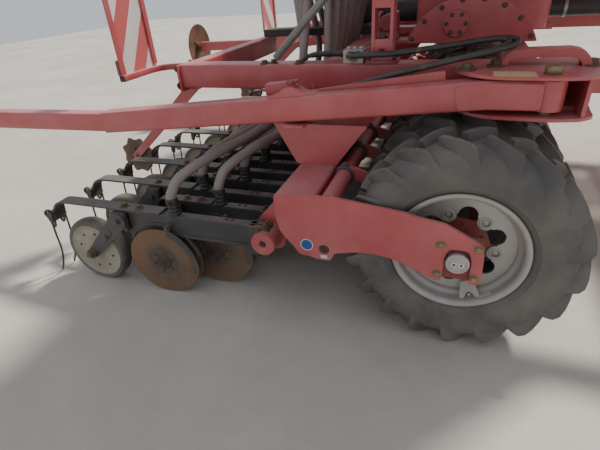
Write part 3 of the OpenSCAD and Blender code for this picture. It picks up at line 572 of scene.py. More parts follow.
DARK_RUST = finish("dark rust", (0.07, 0.036, 0.024), (0.045, 0.028, 0.022), rough=0.75, dust=0.3,
                   mottle=20.0)
TINE = finish("tine wire", (0.05, 0.035, 0.03), (0.20, 0.10, 0.055), rough=0.6, metal=0.3, dust=0.3,
              mottle=5.0)
RED_SMALL = finish("red fittings", (0.40, 0.030, 0.032), (0.20, 0.05, 0.045), rough=0.5, dust=0.6,
                   mottle=40.0)
TIE = finish("hose tie", (0.02, 0.02, 0.021), (0.03, 0.03, 0.03), rough=0.4, dust=0.3)
BLACK = finish("black paint", (0.040, 0.041, 0.045), (0.058, 0.058, 0.062), rough=0.42, chips=0.6,
               chip_width=0.003, bare=(0.16, 0.10, 0.06, 1), dust=0.6, dust_low=0.35)
RUBBER = finish("tyre rubber", (0.088, 0.085, 0.083), (0.118, 0.110, 0.102), rough=0.75, dust=0.7,
                dust_low=0.95, dusty=(0.27, 0.245, 0.215, 1), dust_scale=5.0, grain=160.0,
                depth=0.0006)
PRESS_RUBBER = finish("press wheel rubber", (0.075, 0.073, 0.072), (0.105, 0.10, 0.093), rough=0.7,
                      dust=0.7, dust_low=0.6)
PRESS_FACE = finish("press wheel face", (0.42, 0.385, 0.31), (0.29, 0.262, 0.205), rough=0.6,
                    dust=0.5, mottle=9.0)
HOSE = finish("seed hose", (0.25, 0.212, 0.198), (0.31, 0.27, 0.25), rough=0.6, dust=0.45,
              dust_low=0.3)
BLACK_HOSE = finish("rubber hose", (0.025, 0.025, 0.027), (0.04, 0.04, 0.042), rough=0.4,
                    dust=0.35, dust_low=0.3)
PLASTIC = finish("black plastic", (0.03, 0.03, 0.032), (0.05, 0.05, 0.05), rough=0.55, dust=0.5)
GREY_CAST = finish("grey casting", (0.30, 0.31, 0.31), (0.24, 0.24, 0.24), rough=0.5, dust=0.5)
ALLOY = finish("alloy", (0.50, 0.47, 0.46), (0.40, 0.38, 0.36), rough=0.4, metal=0.6, dust=0.35)
WHITE_RIGHT = finish("board right", (0.74, 0.71, 0.69), (0.66, 0.62, 0.59), rough=0.35, dust=0.35,
                     pattern=board_stripes(-1.0))
WHITE_LEFT = finish("board left", (0.74, 0.71, 0.69), (0.66, 0.62, 0.59), rough=0.35, dust=0.35,
                    pattern=board_stripes(1.0))
LAMP = finish("lamp red", (0.42, 0.02, 0.02), (0.36, 0.02, 0.02), rough=0.2, dust=0.3, coat=0.6)
AMBER = finish("lamp amber", (0.75, 0.26, 0.03), (0.62, 0.22, 0.03), rough=0.2, dust=0.3, coat=0.6)
COVER = finish("lid cover", (0.03, 0.031, 0.033), (0.05, 0.05, 0.052), rough=0.5, dust=0.6)
SPRING = finish("spring wire", (0.40, 0.40, 0.39), (0.30, 0.29, 0.27), rough=0.5, metal=0.6,
                dust=0.45)
BLUE = finish("blue disc", (0.02, 0.09, 0.28), (0.03, 0.11, 0.30), rough=0.35, dust=0.2)
WHITE = finish("white rim", (0.70, 0.70, 0.68), (0.6, 0.6, 0.57), rough=0.4, dust=0.2)
YELLOW = finish("yellow plate", (0.66, 0.57, 0.24), (0.60, 0.50, 0.27), rough=0.45, dust=0.6)

node_finish = {
    "main_frame": RED, "packer_frame": RED, "packer_axle": STEEL, "packer_hubs": HUB_RED,
    "packer_rims": WHEEL_GREY, "packer_tyres": RUBBER, "scraper_bar": RED,
    "scraper_blades": BLACK, "coulter_frame": RED, "coulter_arms_long": BLACK,
    "coulter_arms_short": BLACK, "seed_discs": RUST, "press_wheels_long": PRESS_RUBBER,
    "press_wheels_short": PRESS_RUBBER, "harrow_tines": RUST, "marker_arm_right": RED,
    "marker_arm_left": RED, "marker_disc_right": RUST, "marker_disc_left": RUST,
    "premark_arm_right": RED, "premark_arm_left": RED, "premark_disc_right": RUST,
    "premark_disc_left": RUST, "drawbar": RED, "hitch_eye": DARK_BOLT, "parking_leg": STEEL,
    "hopper": RED, "hopper_stand": RED, "hopper_lid": COVER, "metering_unit": RED,
    "fan_housing": RED, "fan_rotor": ALLOY, "air_pipe": BLACK_HOSE, "distributor": PLASTIC,
    "seed_hoses": HOSE, "steps": BLACK, "board_carriers": RED, "warning_boards": WHITE_RIGHT,
    "rear_lamps": LAMP, "hydraulic_block": ALLOY, "hydraulic_hoses": BLACK_HOSE,
    "hose_springs": STEEL,
}
for node_name, stuff in node_finish.items():
    nodes[node_name].data.materials.clear()
    nodes[node_name].data.materials.append(stuff)


# Packer wheels

TYRE_PITCH = 250
TYRE_ROWS = [(i - 5.5) * TYRE_PITCH for i in range(12)]


def tyre_form():
    """Crowned carcass with slanting lugs that turn down over the shoulders."""
    form = Form()
    side = [(205, 69), (222, 70), (227, 78), (234, 86), (241, 91), (244, 94.5), (249, 94.5),
            (252, 95.5), (266, 99), (284, 101.6), (302, 101.2), (320, 98), (334, 92), (345, 82),
            (353, 66), (358, 44), (361, 20)]
    profile = [(r, -y) for r, y in side] + [(362, 0)] + [(r, y) for r, y in side[::-1]]
    form.turned(profile, steps=96)
    stations = [(-52, 10, -9, 3, 356, 3, 389.0), (-36, 11, -9, 24, 355, 24, 389.7),
                (-12, 11.5, -8, 50, 352, 50, 389.6), (14, 12.5, -6, 72, 346, 74, 388.6),
                (35, 14, -3, 86, 338, 91, 385.0), (46, 14, 0, 93, 330, 101, 372.0),
                (52, 13, 0, 97, 320, 104.5, 352.0), (55, 11, 0, 99, 308, 104, 331.0),
                (56, 8, 0, 100, 298, 101.5, 306.0)]
    for hand in (-1, 1):
        for k in range(18):
            turn = 2 * math.pi * (k + (0.2 if hand > 0 else 0.7)) / 18
            points = []
            for n, (x, wx, wy, by, br, ty, tr) in enumerate(stations):
                top = (0.8, 0.74, 0.66, 0.5, 0.28, 0.22, 0.3, 0.5, 0.7)[n]
                for grow, y, r in ((-1.35, by, br), (-top, ty, tr - 1.5), (top, ty, tr - 1.5),
                                   (1.35, by, br)):
                    a = turn + (x + grow * wx) / 375
                    points.append((r * math.sin(a), hand * (y + grow * wy * 0.9), r * math.cos(a)))
            faces = [(0, 1, 2, 3)]
            for i in range(len(stations) - 1):
                for j in range(4):
                    n = (j + 1) % 4
                    faces.append((i * 4 + j, i * 4 + n, i * 4 + 4 + n, i * 4 + 4 + j))
            last = 4 * (len(stations) - 1)
            faces.append((last + 3, last + 2, last + 1, last))
            form.add(points, faces)
    return form


def rim_form():
    """Stepped barrel with rolled lips and a disc cut like a flower, ears with round holes."""
    form = Form()
    side = [(204.5, 48), (204.5, 69), (211, 70), (217, 72), (221, 75), (221.5, 78), (219, 81),
            (214, 81.5), (208, 80), (203, 76), (199.5, 70), (198.5, 60), (198.5, 46), (196, 41),
            (187, 36), (183, 31)]
    inner = [(189.5, 30), (191, 35), (201, 41)]
    profile = [(r, -y) for r, y in inner + side]
    profile += [(r, y) for r, y in (side[::-1] + inner[::-1])]
    form.turned(profile, steps=96)
    flower = []
    for k in range(6):
        for middle, far, r, way, span in ((8, 121, 31, 1, 98), (38, 122, 28, -1, 84)):
            a = math.radians(middle + 60 * k)
            for j in range(15):
                s = math.radians(-span + 2 * span * j / 14)
                out = far + way * r * math.cos(s)
                along = r * math.sin(s)
                flower.append((out * math.sin(a) + along * math.cos(a),
                               out * math.cos(a) - along * math.sin(a)))
    holes = [flower]
    ears = [math.radians(38 + 60 * k) for k in range(6)]
    for a in ears:
        holes.append(round_loop(120 * math.sin(a), 120 * math.cos(a), 14, 20))
    form.slab(round_loop(0, 0, 185, 96), -20, -12, holes)
    for a in ears:
        at = (120 * math.sin(a), 0, 120 * math.cos(a))
        form.turned([(14, -20.5), (16, -23.5), (19, -23.5), (23, -20)], at, steps=24, closed=False)
        form.turned([(0, -18), (5, -17.5), (9, -15.5), (13.9, -13)], at, steps=20, closed=False)
    # guard of the valve, a bent plate with a half-round cut, and the valve behind it
    cut = [(15 * math.cos(s), 197 - 18 * math.sin(s))
           for s in [math.radians(180 - 18 * k) for k in range(11)]]
    guard = [(-24, 146), (24, 146), (27, 166), (35, 194), (30, 198), (21, 197)]
    guard = guard + cut[::-1][1:-1] + [(-21, 197), (-30, 198), (-35, 194), (-27, 166)]
    plate = Form()
    plate.slab(eased(guard, 3, 3), -2, 2)
    lean = Matrix.Rotation(math.radians(162), 4, "Y")
    tilt = Matrix(((1, 0, 0, 0), (0, 1, -0.6, 60), (0, 0, 1, 0), (0, 0, 0, 1)))
    form.join(plate.moved(lean @ tilt))
    a = math.radians(162)
    form.rod((190 * math.sin(a), -30, 190 * math.cos(a)),
             (182 * math.sin(a), -62, 182 * math.cos(a)), 4, 12)
    return form


def hub_form():
    """Star plate with arms to the ears, its boss, ribs and the bolts that hold the rim."""
    form = Form()
    star = []
    for k in range(6):
        a = math.radians(38 + 60 * k)
        for far, off in ((99, -0.36), (100, -0.25), (150, -0.16), (150, 0.16), (100, 0.25),
                         (99, 0.36)):
            star.append((far * math.sin(a + off), far * math.cos(a + off)))
    form.slab(eased(star, 10, 4), -11.8, -4, [round_loop(0, 0, 35.2, 32)])
    form.turned([(35.2, -4), (55, -4), (55, 60), (35.2, 60)], steps=32)
    rib = Form()
    rib.slab([(50, -4.5), (104, -4.5), (56, 40), (50, 40)], -3, 3)
    for k in range(6):
        a = math.radians(38 + 60 * k)
        c, s = math.cos(a), math.sin(a)
        form.join(rib.moved(Matrix(((s, -c, 0, 0), (0, 0, 1, 0), (c, s, 0, 0), (0, 0, 0, 1)))))
    for k in range(6):
        a = math.radians(8 + 60 * k)
        form.bolt((78 * math.sin(a), -11.8, 78 * math.cos(a)), 13, 7, "-y", False)
    return form


def make_packer():
    """Twelve wheels on one axle, the left six facing the other way."""
    tyre = made_mesh(tyre_form(), "packer_tyre", RUBBER, 32)
    rim = made_mesh(rim_form(), "packer_rim", WHEEL_GREY, 40)
    hub = made_mesh(hub_form(), "packer_hub", HUB_RED, 30)
    for n, y in enumerate(TYRE_ROWS):
        facing = None if y < 0 else Matrix.Rotation(math.pi, 4, "Z")
        spin = Matrix.Rotation(math.pi / 2 * (n * 3 % 4), 4, "Y")
        turn = (facing @ spin) if facing else spin
        for mesh, word, slot, node in ((tyre, "tyre", "tyre", "packer_tyres"),
                                       (rim, "rim", "wheel_grey", "packer_rims"),
                                       (hub, "hub", "frame_red", "packer_hubs")):
            set_down(mesh, f"packer_{word}_{n + 1:02d}", "packer_roller", (node,),
                     (0, y, 390), turn=turn)
    axle = Form()
    axle.turned([(0, -1508), (34, -1508), (35, -1507), (35, 1507), (34, 1508), (0, 1508)],
                (0, 0, 390), closed=False, steps=48)
    placed(axle, "packer_axle_bar", "packer_roller", STEEL, ("packer_axle",))
    for side in (-1, 1):
        cap = Form()
        out = side * 1508
        cap.turned([(0, out), (36.5, out), (36.5, out + side * 6), (34.5, out + side * 8),
                    (29, out + side * 8), (27, out + side * 5), (0, out + side * 5)],
                   (0, 0, 390), closed=False, steps=48)
        placed(cap, "axle_cap_" + ("right" if side < 0 else "left"), "packer_roller",
               WHEEL_GREY, sharp=30)
        nuts = Form()
        # painted shade: small dark discs inside the white rings stand for the dark of two holes in
        # the cap
        hole_shade_dots = Form()
        for x in (-10, 12):
            nuts.turned([(5, out + side * 5), (9, out + side * 5), (8.5, out + side * 7.5),
                         (5, out + side * 7.5)], (x, 0, 390 - 3), steps=20)
            hole_shade_dots.turned([(0, out + side * 5), (5, out + side * 5), (5, out + side * 5.6),
                         (0, out + side * 5.6)], (x, 0, 390 - 3), closed=False, steps=16)
        placed(nuts, "axle_cap_rings_" + ("right" if side < 0 else "left"), "packer_roller",
               WHITE, sharp=30)
        placed(hole_shade_dots, "axle_cap_holes_" + ("right" if side < 0 else "left"), "packer_roller",
               PLASTIC, sharp=30)


make_packer()


# Packer frame

SIDE_OUTLINE = [(-626, 571), (-626, 491), (-616, 430), (-588, 391), (-570, 372), (-542, 332),
                (-500, 330), (-478, 322), (-425, 322), (-412, 356), (-338, 373), (-267, 376),
                (-209, 367), (-164, 352), (-113, 327), (-70, 306), (-42, 306), (-42, 400),
                (-30, 434), (30, 434), (42, 400), (42, 306), (66, 306), (80, 330), (76, 416),
                (70, 459), (44, 473), (-51, 524), (-129, 536), (-173, 549), (-315, 566),
                (-413, 579)]


def make_side_plate(side):
    """Long plate from the cross tube to the axle, with its eye, bolts and discs of colour."""
    word = "right" if side < 0 else "left"
    flat = Form()
    flat.slab(eased(SIDE_OUTLINE, 12, 4), side * 1488, side * 1500,
              [round_loop(-449, 366, 20, 28)])
    placed(flat, "side_plate_" + word, "chassis", RED, bevel=1.8)
    box = Form()
    box.slab(eased([(-75, 315), (75, 315), (75, 465), (-75, 465)], 10, 4),
             side * 1460, side * 1488, [round_loop(0, 390, 35.2, 40)])
    placed(box, "bearing_block_" + word, "chassis", HUB_RED, bevel=2)
    bolts = Form()
    along = "-y" if side < 0 else "y"
    for x in (-57, 57):
        for z in (334, 447):
            bolts.turned([(0, side * 1500), (15.5, side * 1500), (14, side * 1503.5),
                          (0, side * 1503.5)], (x, 0, z), closed=False, steps=24)
            bolts.bolt((x, side * 1503, z), 16, 8, along, False)
    placed(bolts, "side_plate_bolts_" + word, "chassis", ZINC)
    disc = Form()
    disc.turned([(0, side * 1500), (21, side * 1500), (21, side * 1500.9), (0, side * 1500.9)],
                (-513, 0, 379), closed=False, steps=40)
    placed(disc, "round_sign_" + word, "chassis", BLUE)
    rim = Form()
    rim.turned([(21, side * 1500), (24, side * 1500), (24, side * 1500.9), (21, side * 1500.9)],
               (-513, 0, 379), steps=40)
    placed(rim, "round_sign_rim_" + word, "chassis", WHITE)
    blank = Form()
    blank.block(-462, -438, min(side * 1500, side * 1500.6), max(side * 1500, side * 1500.6),
                330, 343)
    placed(blank, "blank_label_" + word, "chassis", WHITE)


def make_packer_frame():
    """Cross tube, middle plate, pedestals and the bearings of the coulter tube."""
    tube = Form()
    tube.slab(eased([(-626, 431), (-476, 431), (-476, 571), (-626, 571)], 14, 5), -1488, 1488)
    placed(tube, "packer_cross_tube", "chassis", RED, ("packer_frame",))
    plate = Form()
    plate.slab(eased([(-626, 571), (-476, 571), (-120, 500), (60, 470), (75, 440), (75, 330),
                      (60, 315), (-75, 315), (-300, 400), (-476, 431), (-626, 431)], 10, 4),
               -8, 8, [round_loop(0, 390, 35.2, 36), round_loop(-432, 552, 30, 32)])
    placed(plate, "packer_middle_plate", "chassis", RED, bevel=1.5)
    for side, word in SIDES:
        make_side_plate(side)
        stand = Form()
        lower = [(-636, 571), (-476, 571), (-353, 733), (-726, 733)]
        stand.slab(eased(lower, 8, 4), side * 1205, side * 1215)
        stand.slab([(-636, 571), (-476, 571), (-297, 810), (-767, 810)], side * 990, side * 1000)
        placed(stand, "pedestal_walls_" + word, "chassis", RED, bevel=1.5)
        wrap = Form()
        for run in ([(-476, 571), (-353, 733), (-363, 733), (-486, 571)],
                    [(-636, 571), (-726, 733), (-716, 733), (-626, 571)],
                    [(-716, 723), (-363, 723), (-363, 733), (-716, 733)]):
            wrap.slab(run, side * 1000, side * 1206)
        placed(wrap, "pedestal_wraps_" + word, "chassis", RED, bevel=1.5)
        for y in (1375, 500):
            ear = Form()
            outer = [(-700 + 75 * math.cos(a), 340 + 75 * math.sin(a))
                     for a in [math.radians(d) for d in range(135, 316, 12)]]
            outer += [(-600, 431), (-600, 540), (-626, 560), (-660, 500)]
            ear.slab(outer, side * (y - 20), side * (y + 20), [round_loop(-700, 340, 50.3, 40)])
            placed(ear, f"coulter_bearing_{word}_{y}", "chassis", RED, bevel=2)


make_packer_frame()


def make_scrapers():
    """Pipe behind the tyres with a clamp and finger in each gap."""
    pipe = Form()
    pipe.turned([(0, -1488), (30, -1488), (30, 1488), (0, 1488)], (-432, 0, 552), closed=False,
                steps=40)
    placed(pipe, "scraper_pipe", "chassis", RED, ("scraper_bar",))
    finger = Form()
    finger.slab(eased([(2, 33), (36, 36), (104, 13), (132, -7), (127, -22), (32, -22),
                       (37, 4)], 5, 4), -6, 6)
    mesh = made_mesh(finger, "scraper_finger", RED)
    strap = Form()
    strap.turned([(30, -18), (37, -18), (38, -16), (38, 16), (37, 18), (30, 18)], (0, 0, 0),
                 steps=36)
    strap.bolt((0, 0, 37), 15, 9, "z")
    ring = made_mesh(strap, "scraper_strap", BLACK)
    for i in range(-5, 6):
        if i:
            set_down(mesh, f"scraper_finger_{i + 6:02d}", "chassis",
                     ("scraper_blades",), (-432, i * TYRE_PITCH, 552), bevel=1)
            set_down(ring, f"scraper_strap_{i + 6:02d}", "chassis", (),
                     (-432, i * TYRE_PITCH, 552))


make_scrapers()

def make_rim_label():
    """Blank white label inside the outer rim."""
    form = Form()
    ring = []
    for k in range(9):
        a = math.radians(141 + 1.4 * k)
        ring.append((198.1 * math.sin(a), 198.1 * math.cos(a), a))
    points = [(p[0], y, p[1]) for p in ring for y in (-67, -49)]
    inner = [(197.5 * math.sin(p[2]), y, 197.5 * math.cos(p[2])) for p in ring for y in (-67, -49)]
    n = len(points)
    faces = []
    for k in range(8):
        a = 2 * k
        faces.append((a, a + 1, a + 3, a + 2))
        faces.append((n + a, n + a + 2, n + a + 3, n + a + 1))
        faces.append((a, a + 2, n + a + 2, n + a))
        faces.append((a + 1, n + a + 1, n + a + 3, a + 3))
    faces.append((0, n, n + 1, 1))
    faces.append((n - 2, n - 1, 2 * n - 1, 2 * n - 2))
    form.add(points + inner, faces)
    mesh = made_mesh(form, "rim_label", WHITE, 30)
    set_down(mesh, "rim_label", "packer_roller", (), (0, TYRE_ROWS[0], 390))


make_rim_label()


# Coulters

LONG_X = -1588
SHORT_X = -1388
DISC_AHEAD = 388
DISC_Z = 167
PRESS_Z = 160
LONG_ROWS = [s * (k + 0.75) * TYRE_PITCH for s in (-1, 1) for k in range(6)]
SHORT_ROWS = [s * (k + 0.25) * TYRE_PITCH for s in (-1, 1) for k in range(6)]
MIRROR = Matrix.Scale(-1, 4, (0, 1, 0))


def band(x, z, inner, outer, first, last, steps=20):
    """A curved strip as an outline, angles in degrees from straight ahead."""
    turns = [math.radians(first + (last - first) * k / steps) for k in range(steps + 1)]
    loop = [(x + outer * math.cos(a), z + outer * math.sin(a)) for a in turns]
    loop += [(x + inner * math.cos(a), z + inner * math.sin(a)) for a in reversed(turns)]
    return loop


def link_bar(a, b, ra, rb, steps=10):
    """The outline of a flat bar with round ends of two sizes."""
    run = Vector((b[0] - a[0], b[1] - a[1]))
    facing = math.atan2(run.y, run.x)
    lean = math.acos((ra - rb) / run.length)
    loop = []
    for k in range(steps + 1):
        t = facing + lean + (2 * math.pi - 2 * lean) * k / steps
        loop.append((a[0] + ra * math.cos(t), a[1] + ra * math.sin(t)))
    for k in range(steps + 1):
        t = facing - lean + 2 * lean * k / steps
        loop.append((b[0] + rb * math.cos(t), b[1] + rb * math.sin(t)))
    return loop


def arm_form(reach):
    """Channel arm with its clamp, disc leg, scraper bands and press wheel bracket."""
    form = Form()
    web = [(205, 300), (reach - 40, 300), (reach - 40, 400), (205, 400)]
    form.slab(web, -13, 20)
    form.block(205, reach - 60, -20, -12.5, 390, 400)
    form.block(428, reach - 60, -20, -12.5, 300, 311)
    form.block(205, 240, -20, -12.5, 302, 398)
    form.slab(eased([(170, 305), (240, 305), (240, 392), (170, 392)], 8, 4), -40, 20)
    clamp = eased([(reach - 70, 274), (reach + 20, 274), (reach + 20, 400),
                   (reach - 70, 400)], 8, 4)
    form.slab(clamp, -27, -3, [round_loop(reach, 340, 50, 28)])
    form.slab(clamp, 3, 27, [round_loop(reach, 340, 50, 28)])
    form.slab([(reach - 68, 350), (reach - 52, 350), (reach - 52, 398), (reach - 68, 398)], -4, 4)
    leg = [(448, 305), (418, 147), (400, 134), (376, 132), (328, 147), (258, 179), (246, 197),
           (215, 305)]
    form.slab(eased(leg, 12, 4), -10, 10)
    form.slab(band(388, 167, 176, 188, 12, 150), -16, -9.5)
    form.turned([(0, -14), (30, -14), (30, 14), (0, 14)], (388, 0, 167), closed=False, steps=28)
    for y in (-39, 35):
        form.slab(band(388, 167, 147, 176, -14, 72), y, y + 4)
    form.turned([(0, -39), (13, -39), (13, 39), (0, 39)], (450, 0, 348), closed=False, steps=20)
    form.slab(link_bar((200, 350), (0, 160), 40, 25), -46.5, -38.5)
    form.slab(link_bar((130, 286), (10, 170), 17, 15), -49, -46)
    form.turned([(0, -58), (22, -58), (22, -38.5), (0, -38.5)], (0, 0, 160), closed=False, steps=24)
    form.turned([(0, -38), (12.4, -38), (12.4, 46), (0, 46)], (0, 0, 160), closed=False, steps=20)
    form.bolt((200, -46.5, 350), 17, 9)
    form.bolt((112, -49, 262), 15, 8)
    return form


def long_arm_form():
    """The long arm carries a flat spring with its end bent down to the tines."""
    form = arm_form(888)
    top = curved([(420, 405), (200, 405), (40, 405), (-96, 404), (-140, 393), (-168, 366),
                  (-182, 334), (-186, 302)], 6)
    form.strip([(p[0], p[1]) for p in top], 60, 9)
    form.slab(eased([(-215, 300), (-190, 300), (-190, 345), (-215, 345)], 5, 3), -42, 42)
    form.slab(eased([(-222, 322), (-196, 330), (-190, 300), (-202, 262), (-216, 258),
                     (-228, 272)], 8, 4), -30, -24, [round_loop(-212, 278, 6, 12)])
    form.slab(eased([(-222, 322), (-196, 330), (-190, 300), (-202, 262), (-216, 258),
                     (-228, 272)], 8, 4), 24, 30, [round_loop(-212, 278, 6, 12)])
    return form


def short_arm_form():
    """The short arm carries a flat spring rolled into a hoop."""
    form = arm_form(688)
    hoop = [(150 + 35 * math.cos(a), 370 + 35 * math.sin(a))
            for a in [math.radians(d) for d in range(-70, -271, -10)]]
    hoop = hoop[::-1]
    hoop = [(150 + 35 * math.cos(math.radians(d)), 370 + 35 * math.sin(math.radians(d)))
            for d in range(310, 89, -10)]
    form.strip(hoop + [(200, 405), (290, 405), (390, 405)], 50, 9)
    return form


def arm_bolts_form(reach, spring):
    """Heads on the flat spring, the clamp, the wheel bracket and the disc."""
    form = Form()
    for x in spring:
        form.bolt((x, 0, 409.5), 18, 10, "z")
    for y in (-15, 15):
        form.bolt((reach + 2, y, 400), 14, 9, "z")
    for x in (reach - 150, reach - 175):
        form.bolt((x, 6, 400), 10, 6, "z", False)
    form.bolt((0, -58, 160), 24, 14)
    form.bolt((450, -39, 348), 14, 9)
    form.bolt((reach - 22, -27, 388), 12, 8)
    return form


def disc_form():
    """Sharpened seed disc, its edge ground from the outside, with a pressed middle."""
    form = Form()
    form.turned([(0, -2), (60, -2), (72, -1.4), (155, -1.6), (165, 1.6), (154, 2.0), (104, 1.9),
                 (99, 3.6), (78, 3.8), (72, 2.2), (38, 2.2), (0, 2.2)], steps=72, closed=False)
    return form


def disc_cap_form():
    """Bearing cap on a seed disc with its rivets and centre bolt."""
    form = Form()
    form.turned([(0, -14), (34, -14), (35, -12), (35, 4), (31, 9), (22, 11), (18, 12), (0, 12)],
                steps=36, closed=False)
    for k in range(6):
        a = math.radians(60 * k + 15)
        form.turned([(0, 2), (6, 2), (5, 6), (0, 6.6)], (48 * math.sin(a), 0, 48 * math.cos(a)),
                    steps=12, closed=False)
    form.bolt((0, 12, 0), 17, 6, "y", False)
    return form


def press_tyre_form():
    """Rubber ring with rounded shoulders and a shallow groove on each side."""
    form = Form()
    side = [(130, 26), (134, 30), (138, 32.2), (142, 31.4), (146, 31.2), (150, 31.6), (154, 28),
            (157.5, 21), (159.6, 12)]
    form.turned([(r, -y) for r, y in side] + [(160, 0)] + [(r, y) for r, y in side[::-1]],
                steps=72)
    return form


def press_face_form():
    """Dished steel faces with eight small holes, on a hub."""
    form = Form()
    for s in (-1, 1):
        holes = [round_loop(0, 0, 26, 24)]
        for k in range(8):
            a = math.radians(45 * k + 12)
            holes.append(round_loop(90 * math.sin(a), 90 * math.cos(a), 7, 14))
        form.slab(round_loop(0, 0, 114, 64), min(s * 21, s * 24), max(s * 21, s * 24), holes)
        form.turned([(113, s * 21), (114, s * 24), (124, s * 27), (133, s * 30.5), (135.5, s * 29),
                     (133, s * 26), (122, s * 22.5)], steps=64)
    form.turned([(12.7, -32), (27, -32), (30, -28), (30, 28), (27, 32), (12.7, 32)], steps=32)
    return form


def tine_form():
    """Spring wire that loops over the clip and runs down behind the wheel."""
    form = Form()
    for s in (-1, 1):
        coil = []
        for k in range(34):
            a = math.radians(-120 + 20 * k)
            coil.append((-206 + 19 * math.cos(a), s * (30 + k * 0.3), 336 + 19 * math.sin(a)))
        run = coil + [(-203, s * 41, 300), (-206, s * 41, 230), (-212, s * 40, 140),
                      (-236, s * 39, 66), (-264, s * 38, 10)]
        start = [coil[0]]
        path = start + coil[1:-1] + curved(run[len(coil) - 1:], 5)
        form.tube(path, 4.6, 10)
    return form


def make_coulters():
    """Cross tube, arms, discs, press wheels and tines of the twenty-four rows."""
    tube = Form()
    tube.turned([(0, -1472), (50, -1472), (50, 1472), (0, 1472)], (-700, 0, 340), closed=False,
                steps=48)
    placed(tube, "coulter_tube", "coulter_bar", RED, ("coulter_frame",))
    for side in (-1, 1):
        ear = Form()
        ear.slab(round_loop(-700, 340, 48, 40), min(side * 1472, side * 1484),
                 max(side * 1472, side * 1484), [round_loop(-700, 340, 15, 24)])
        placed(ear, "coulter_tube_ear_" + ("right" if side < 0 else "left"), "coulter_bar",
               RED, ("coulter_frame",), bevel=1.5)
        # painted shade: a thin black disc at the bottom of the ear's hole stands for the dark
        # inside of the hole
        hole_shade = Form()
        hole_shade.turned([(0, side * 1472.2), (14.6, side * 1472.2), (14.6, side * 1473),
                       (0, side * 1473)], (-700, 0, 340), closed=False, steps=24)
        placed(hole_shade, "ear_hole_floor_" + ("right" if side < 0 else "left"), "coulter_bar",
               BLACK)
    disc = made_mesh(disc_form(), "seed_disc", RUSTY_DISC, 30)
    cap = made_mesh(disc_cap_form(), "disc_cap", DARK_RUST, 30)
    tyre = made_mesh(press_tyre_form(), "press_tyre", PRESS_RUBBER, 40)
    face = made_mesh(press_face_form(), "press_face", PRESS_FACE, 30)
    tine = made_mesh(tine_form(), "harrow_tine", TINE, 50)
    for word, base, rows, form, bolts, body in (
            ("long", LONG_X, LONG_ROWS, long_arm_form(), arm_bolts_form(888, (300, 222)),
             "press_wheels_long_row"),
            ("short", SHORT_X, SHORT_ROWS, short_arm_form(), arm_bolts_form(688, (330, 262)),
             "press_wheels_short_row")):
        arm = made_mesh(form, "coulter_arm_" + word, BLACK, 30)
        heads = made_mesh(bolts, "coulter_bolts_" + word, DARK_BOLT, 25)
        for n, y in enumerate(rows):
            tag = f"{word}_{n + 1:02d}"
            set_down(arm, "coulter_arm_" + tag, "coulter_bar",
                     ("coulter_arms_" + word,), (base, y, 0), bevel=1.2)
            set_down(heads, "coulter_bolts_" + tag, "coulter_bar", (), (base, y, 0))
            for s in (-1, 1):
                toe = Matrix.Rotation(math.radians(-4.5 * s), 4, "Z")
                facing = toe if s > 0 else toe @ MIRROR
                spin = facing @ Matrix.Rotation(math.pi / 2 * ((n + s) % 4), 4, "Y")
                at = (base + DISC_AHEAD, y + s * 32, DISC_Z)
                hand = "l" if s > 0 else "r"
                set_down(disc, f"seed_disc_{tag}_{hand}", "coulter_bar", ("seed_discs",),
                         at, turn=spin)
                set_down(cap, f"disc_cap_{tag}_{hand}", "coulter_bar", (), at, turn=spin)
            roll = Matrix.Rotation(math.pi / 2 * (n * 3 % 4), 4, "Y")
            set_down(tyre, "press_tyre_" + tag, body, ("press_wheels_" + word,),
                     (base, y, PRESS_Z), turn=roll)
            set_down(face, "press_face_" + tag, body, ("press_wheels_" + word,),
                     (base, y, PRESS_Z), turn=roll)
            if word == "long":
                set_down(tine, "harrow_tine_" + tag, "coulter_bar", ("harrow_tines",),
                         (base, y, 0))


make_coulters()


# Seed hoses and their boots

TOWER_X = -780


def hose_route(i, ahead):
    """One seed hose on the right side, from its outlet to the boot on its coulter."""
    a = math.radians(352.5 - 15 * i if ahead else 187.5 + 15 * i)
    c, q = math.cos(a), math.sin(a)
    xb = SHORT_X + DISC_AHEAD + 40 if ahead else LONG_X + DISC_AHEAD + 90
    yb = (i + (0.25 if ahead else 0.75)) * TYRE_PITCH
    xg = -645 - 8 * i if ahead else -950 + 30 * i
    yg = 120 + 88 * i if ahead else 150 + 90 * i
    dx, dy = xb - xg, yb - yg
    run = [(TOWER_X + r * c, r * q, z)
           for r, z in ((190, 1600), (228, 1600), (262, 1560), (270, 1470))]
    run += [((TOWER_X + 270 * c + xg) / 2, (270 * q - yg) / 2, 1180), (xg, -yg, 880)]
    for fx, fy, z in ((0.03, 0.07, 745), (0.16, 0.24, 655), (0.4, 0.5, 610), (0.68, 0.77, 588),
                      (0.9, 0.94, 550)):
        run.append((xg + fx * dx, -yg - fy * dy, z))
    return run + [(xb + 8, -yb + 7, 504), (xb, -yb, 474), (xb, -yb, 458)]


def boot_form():
    """Rubber boot with two folds that the hose is pushed into, on its flange."""
    form = Form()
    form.turned([(0, 400), (27, 400), (27.5, 404), (27, 410), (23, 413), (22.5, 417), (25, 421),
                 (24.5, 426), (22, 429), (22, 433), (24.6, 437), (24.6, 444), (23.4, 447),
                 (24.6, 450), (25, 470), (24, 474), (22, 475), (0, 475)],
                along="z", steps=28, closed=False)
    return form


def tie_form():
    """Strap pulled tight round the boot, with its lock and loose tail."""
    form = Form()
    form.turned([(24.6, 455), (26.4, 455), (26.4, 461), (24.6, 461)], along="z", steps=28)
    form.block(-4, 5, -32, -25, 452, 464)
    tail = curved([(0, -29, 464), (8, -34, 476), (24, -38, 486), (40, -34, 489)], 4)
    form.tube(tail, 1.6, 6)
    return form


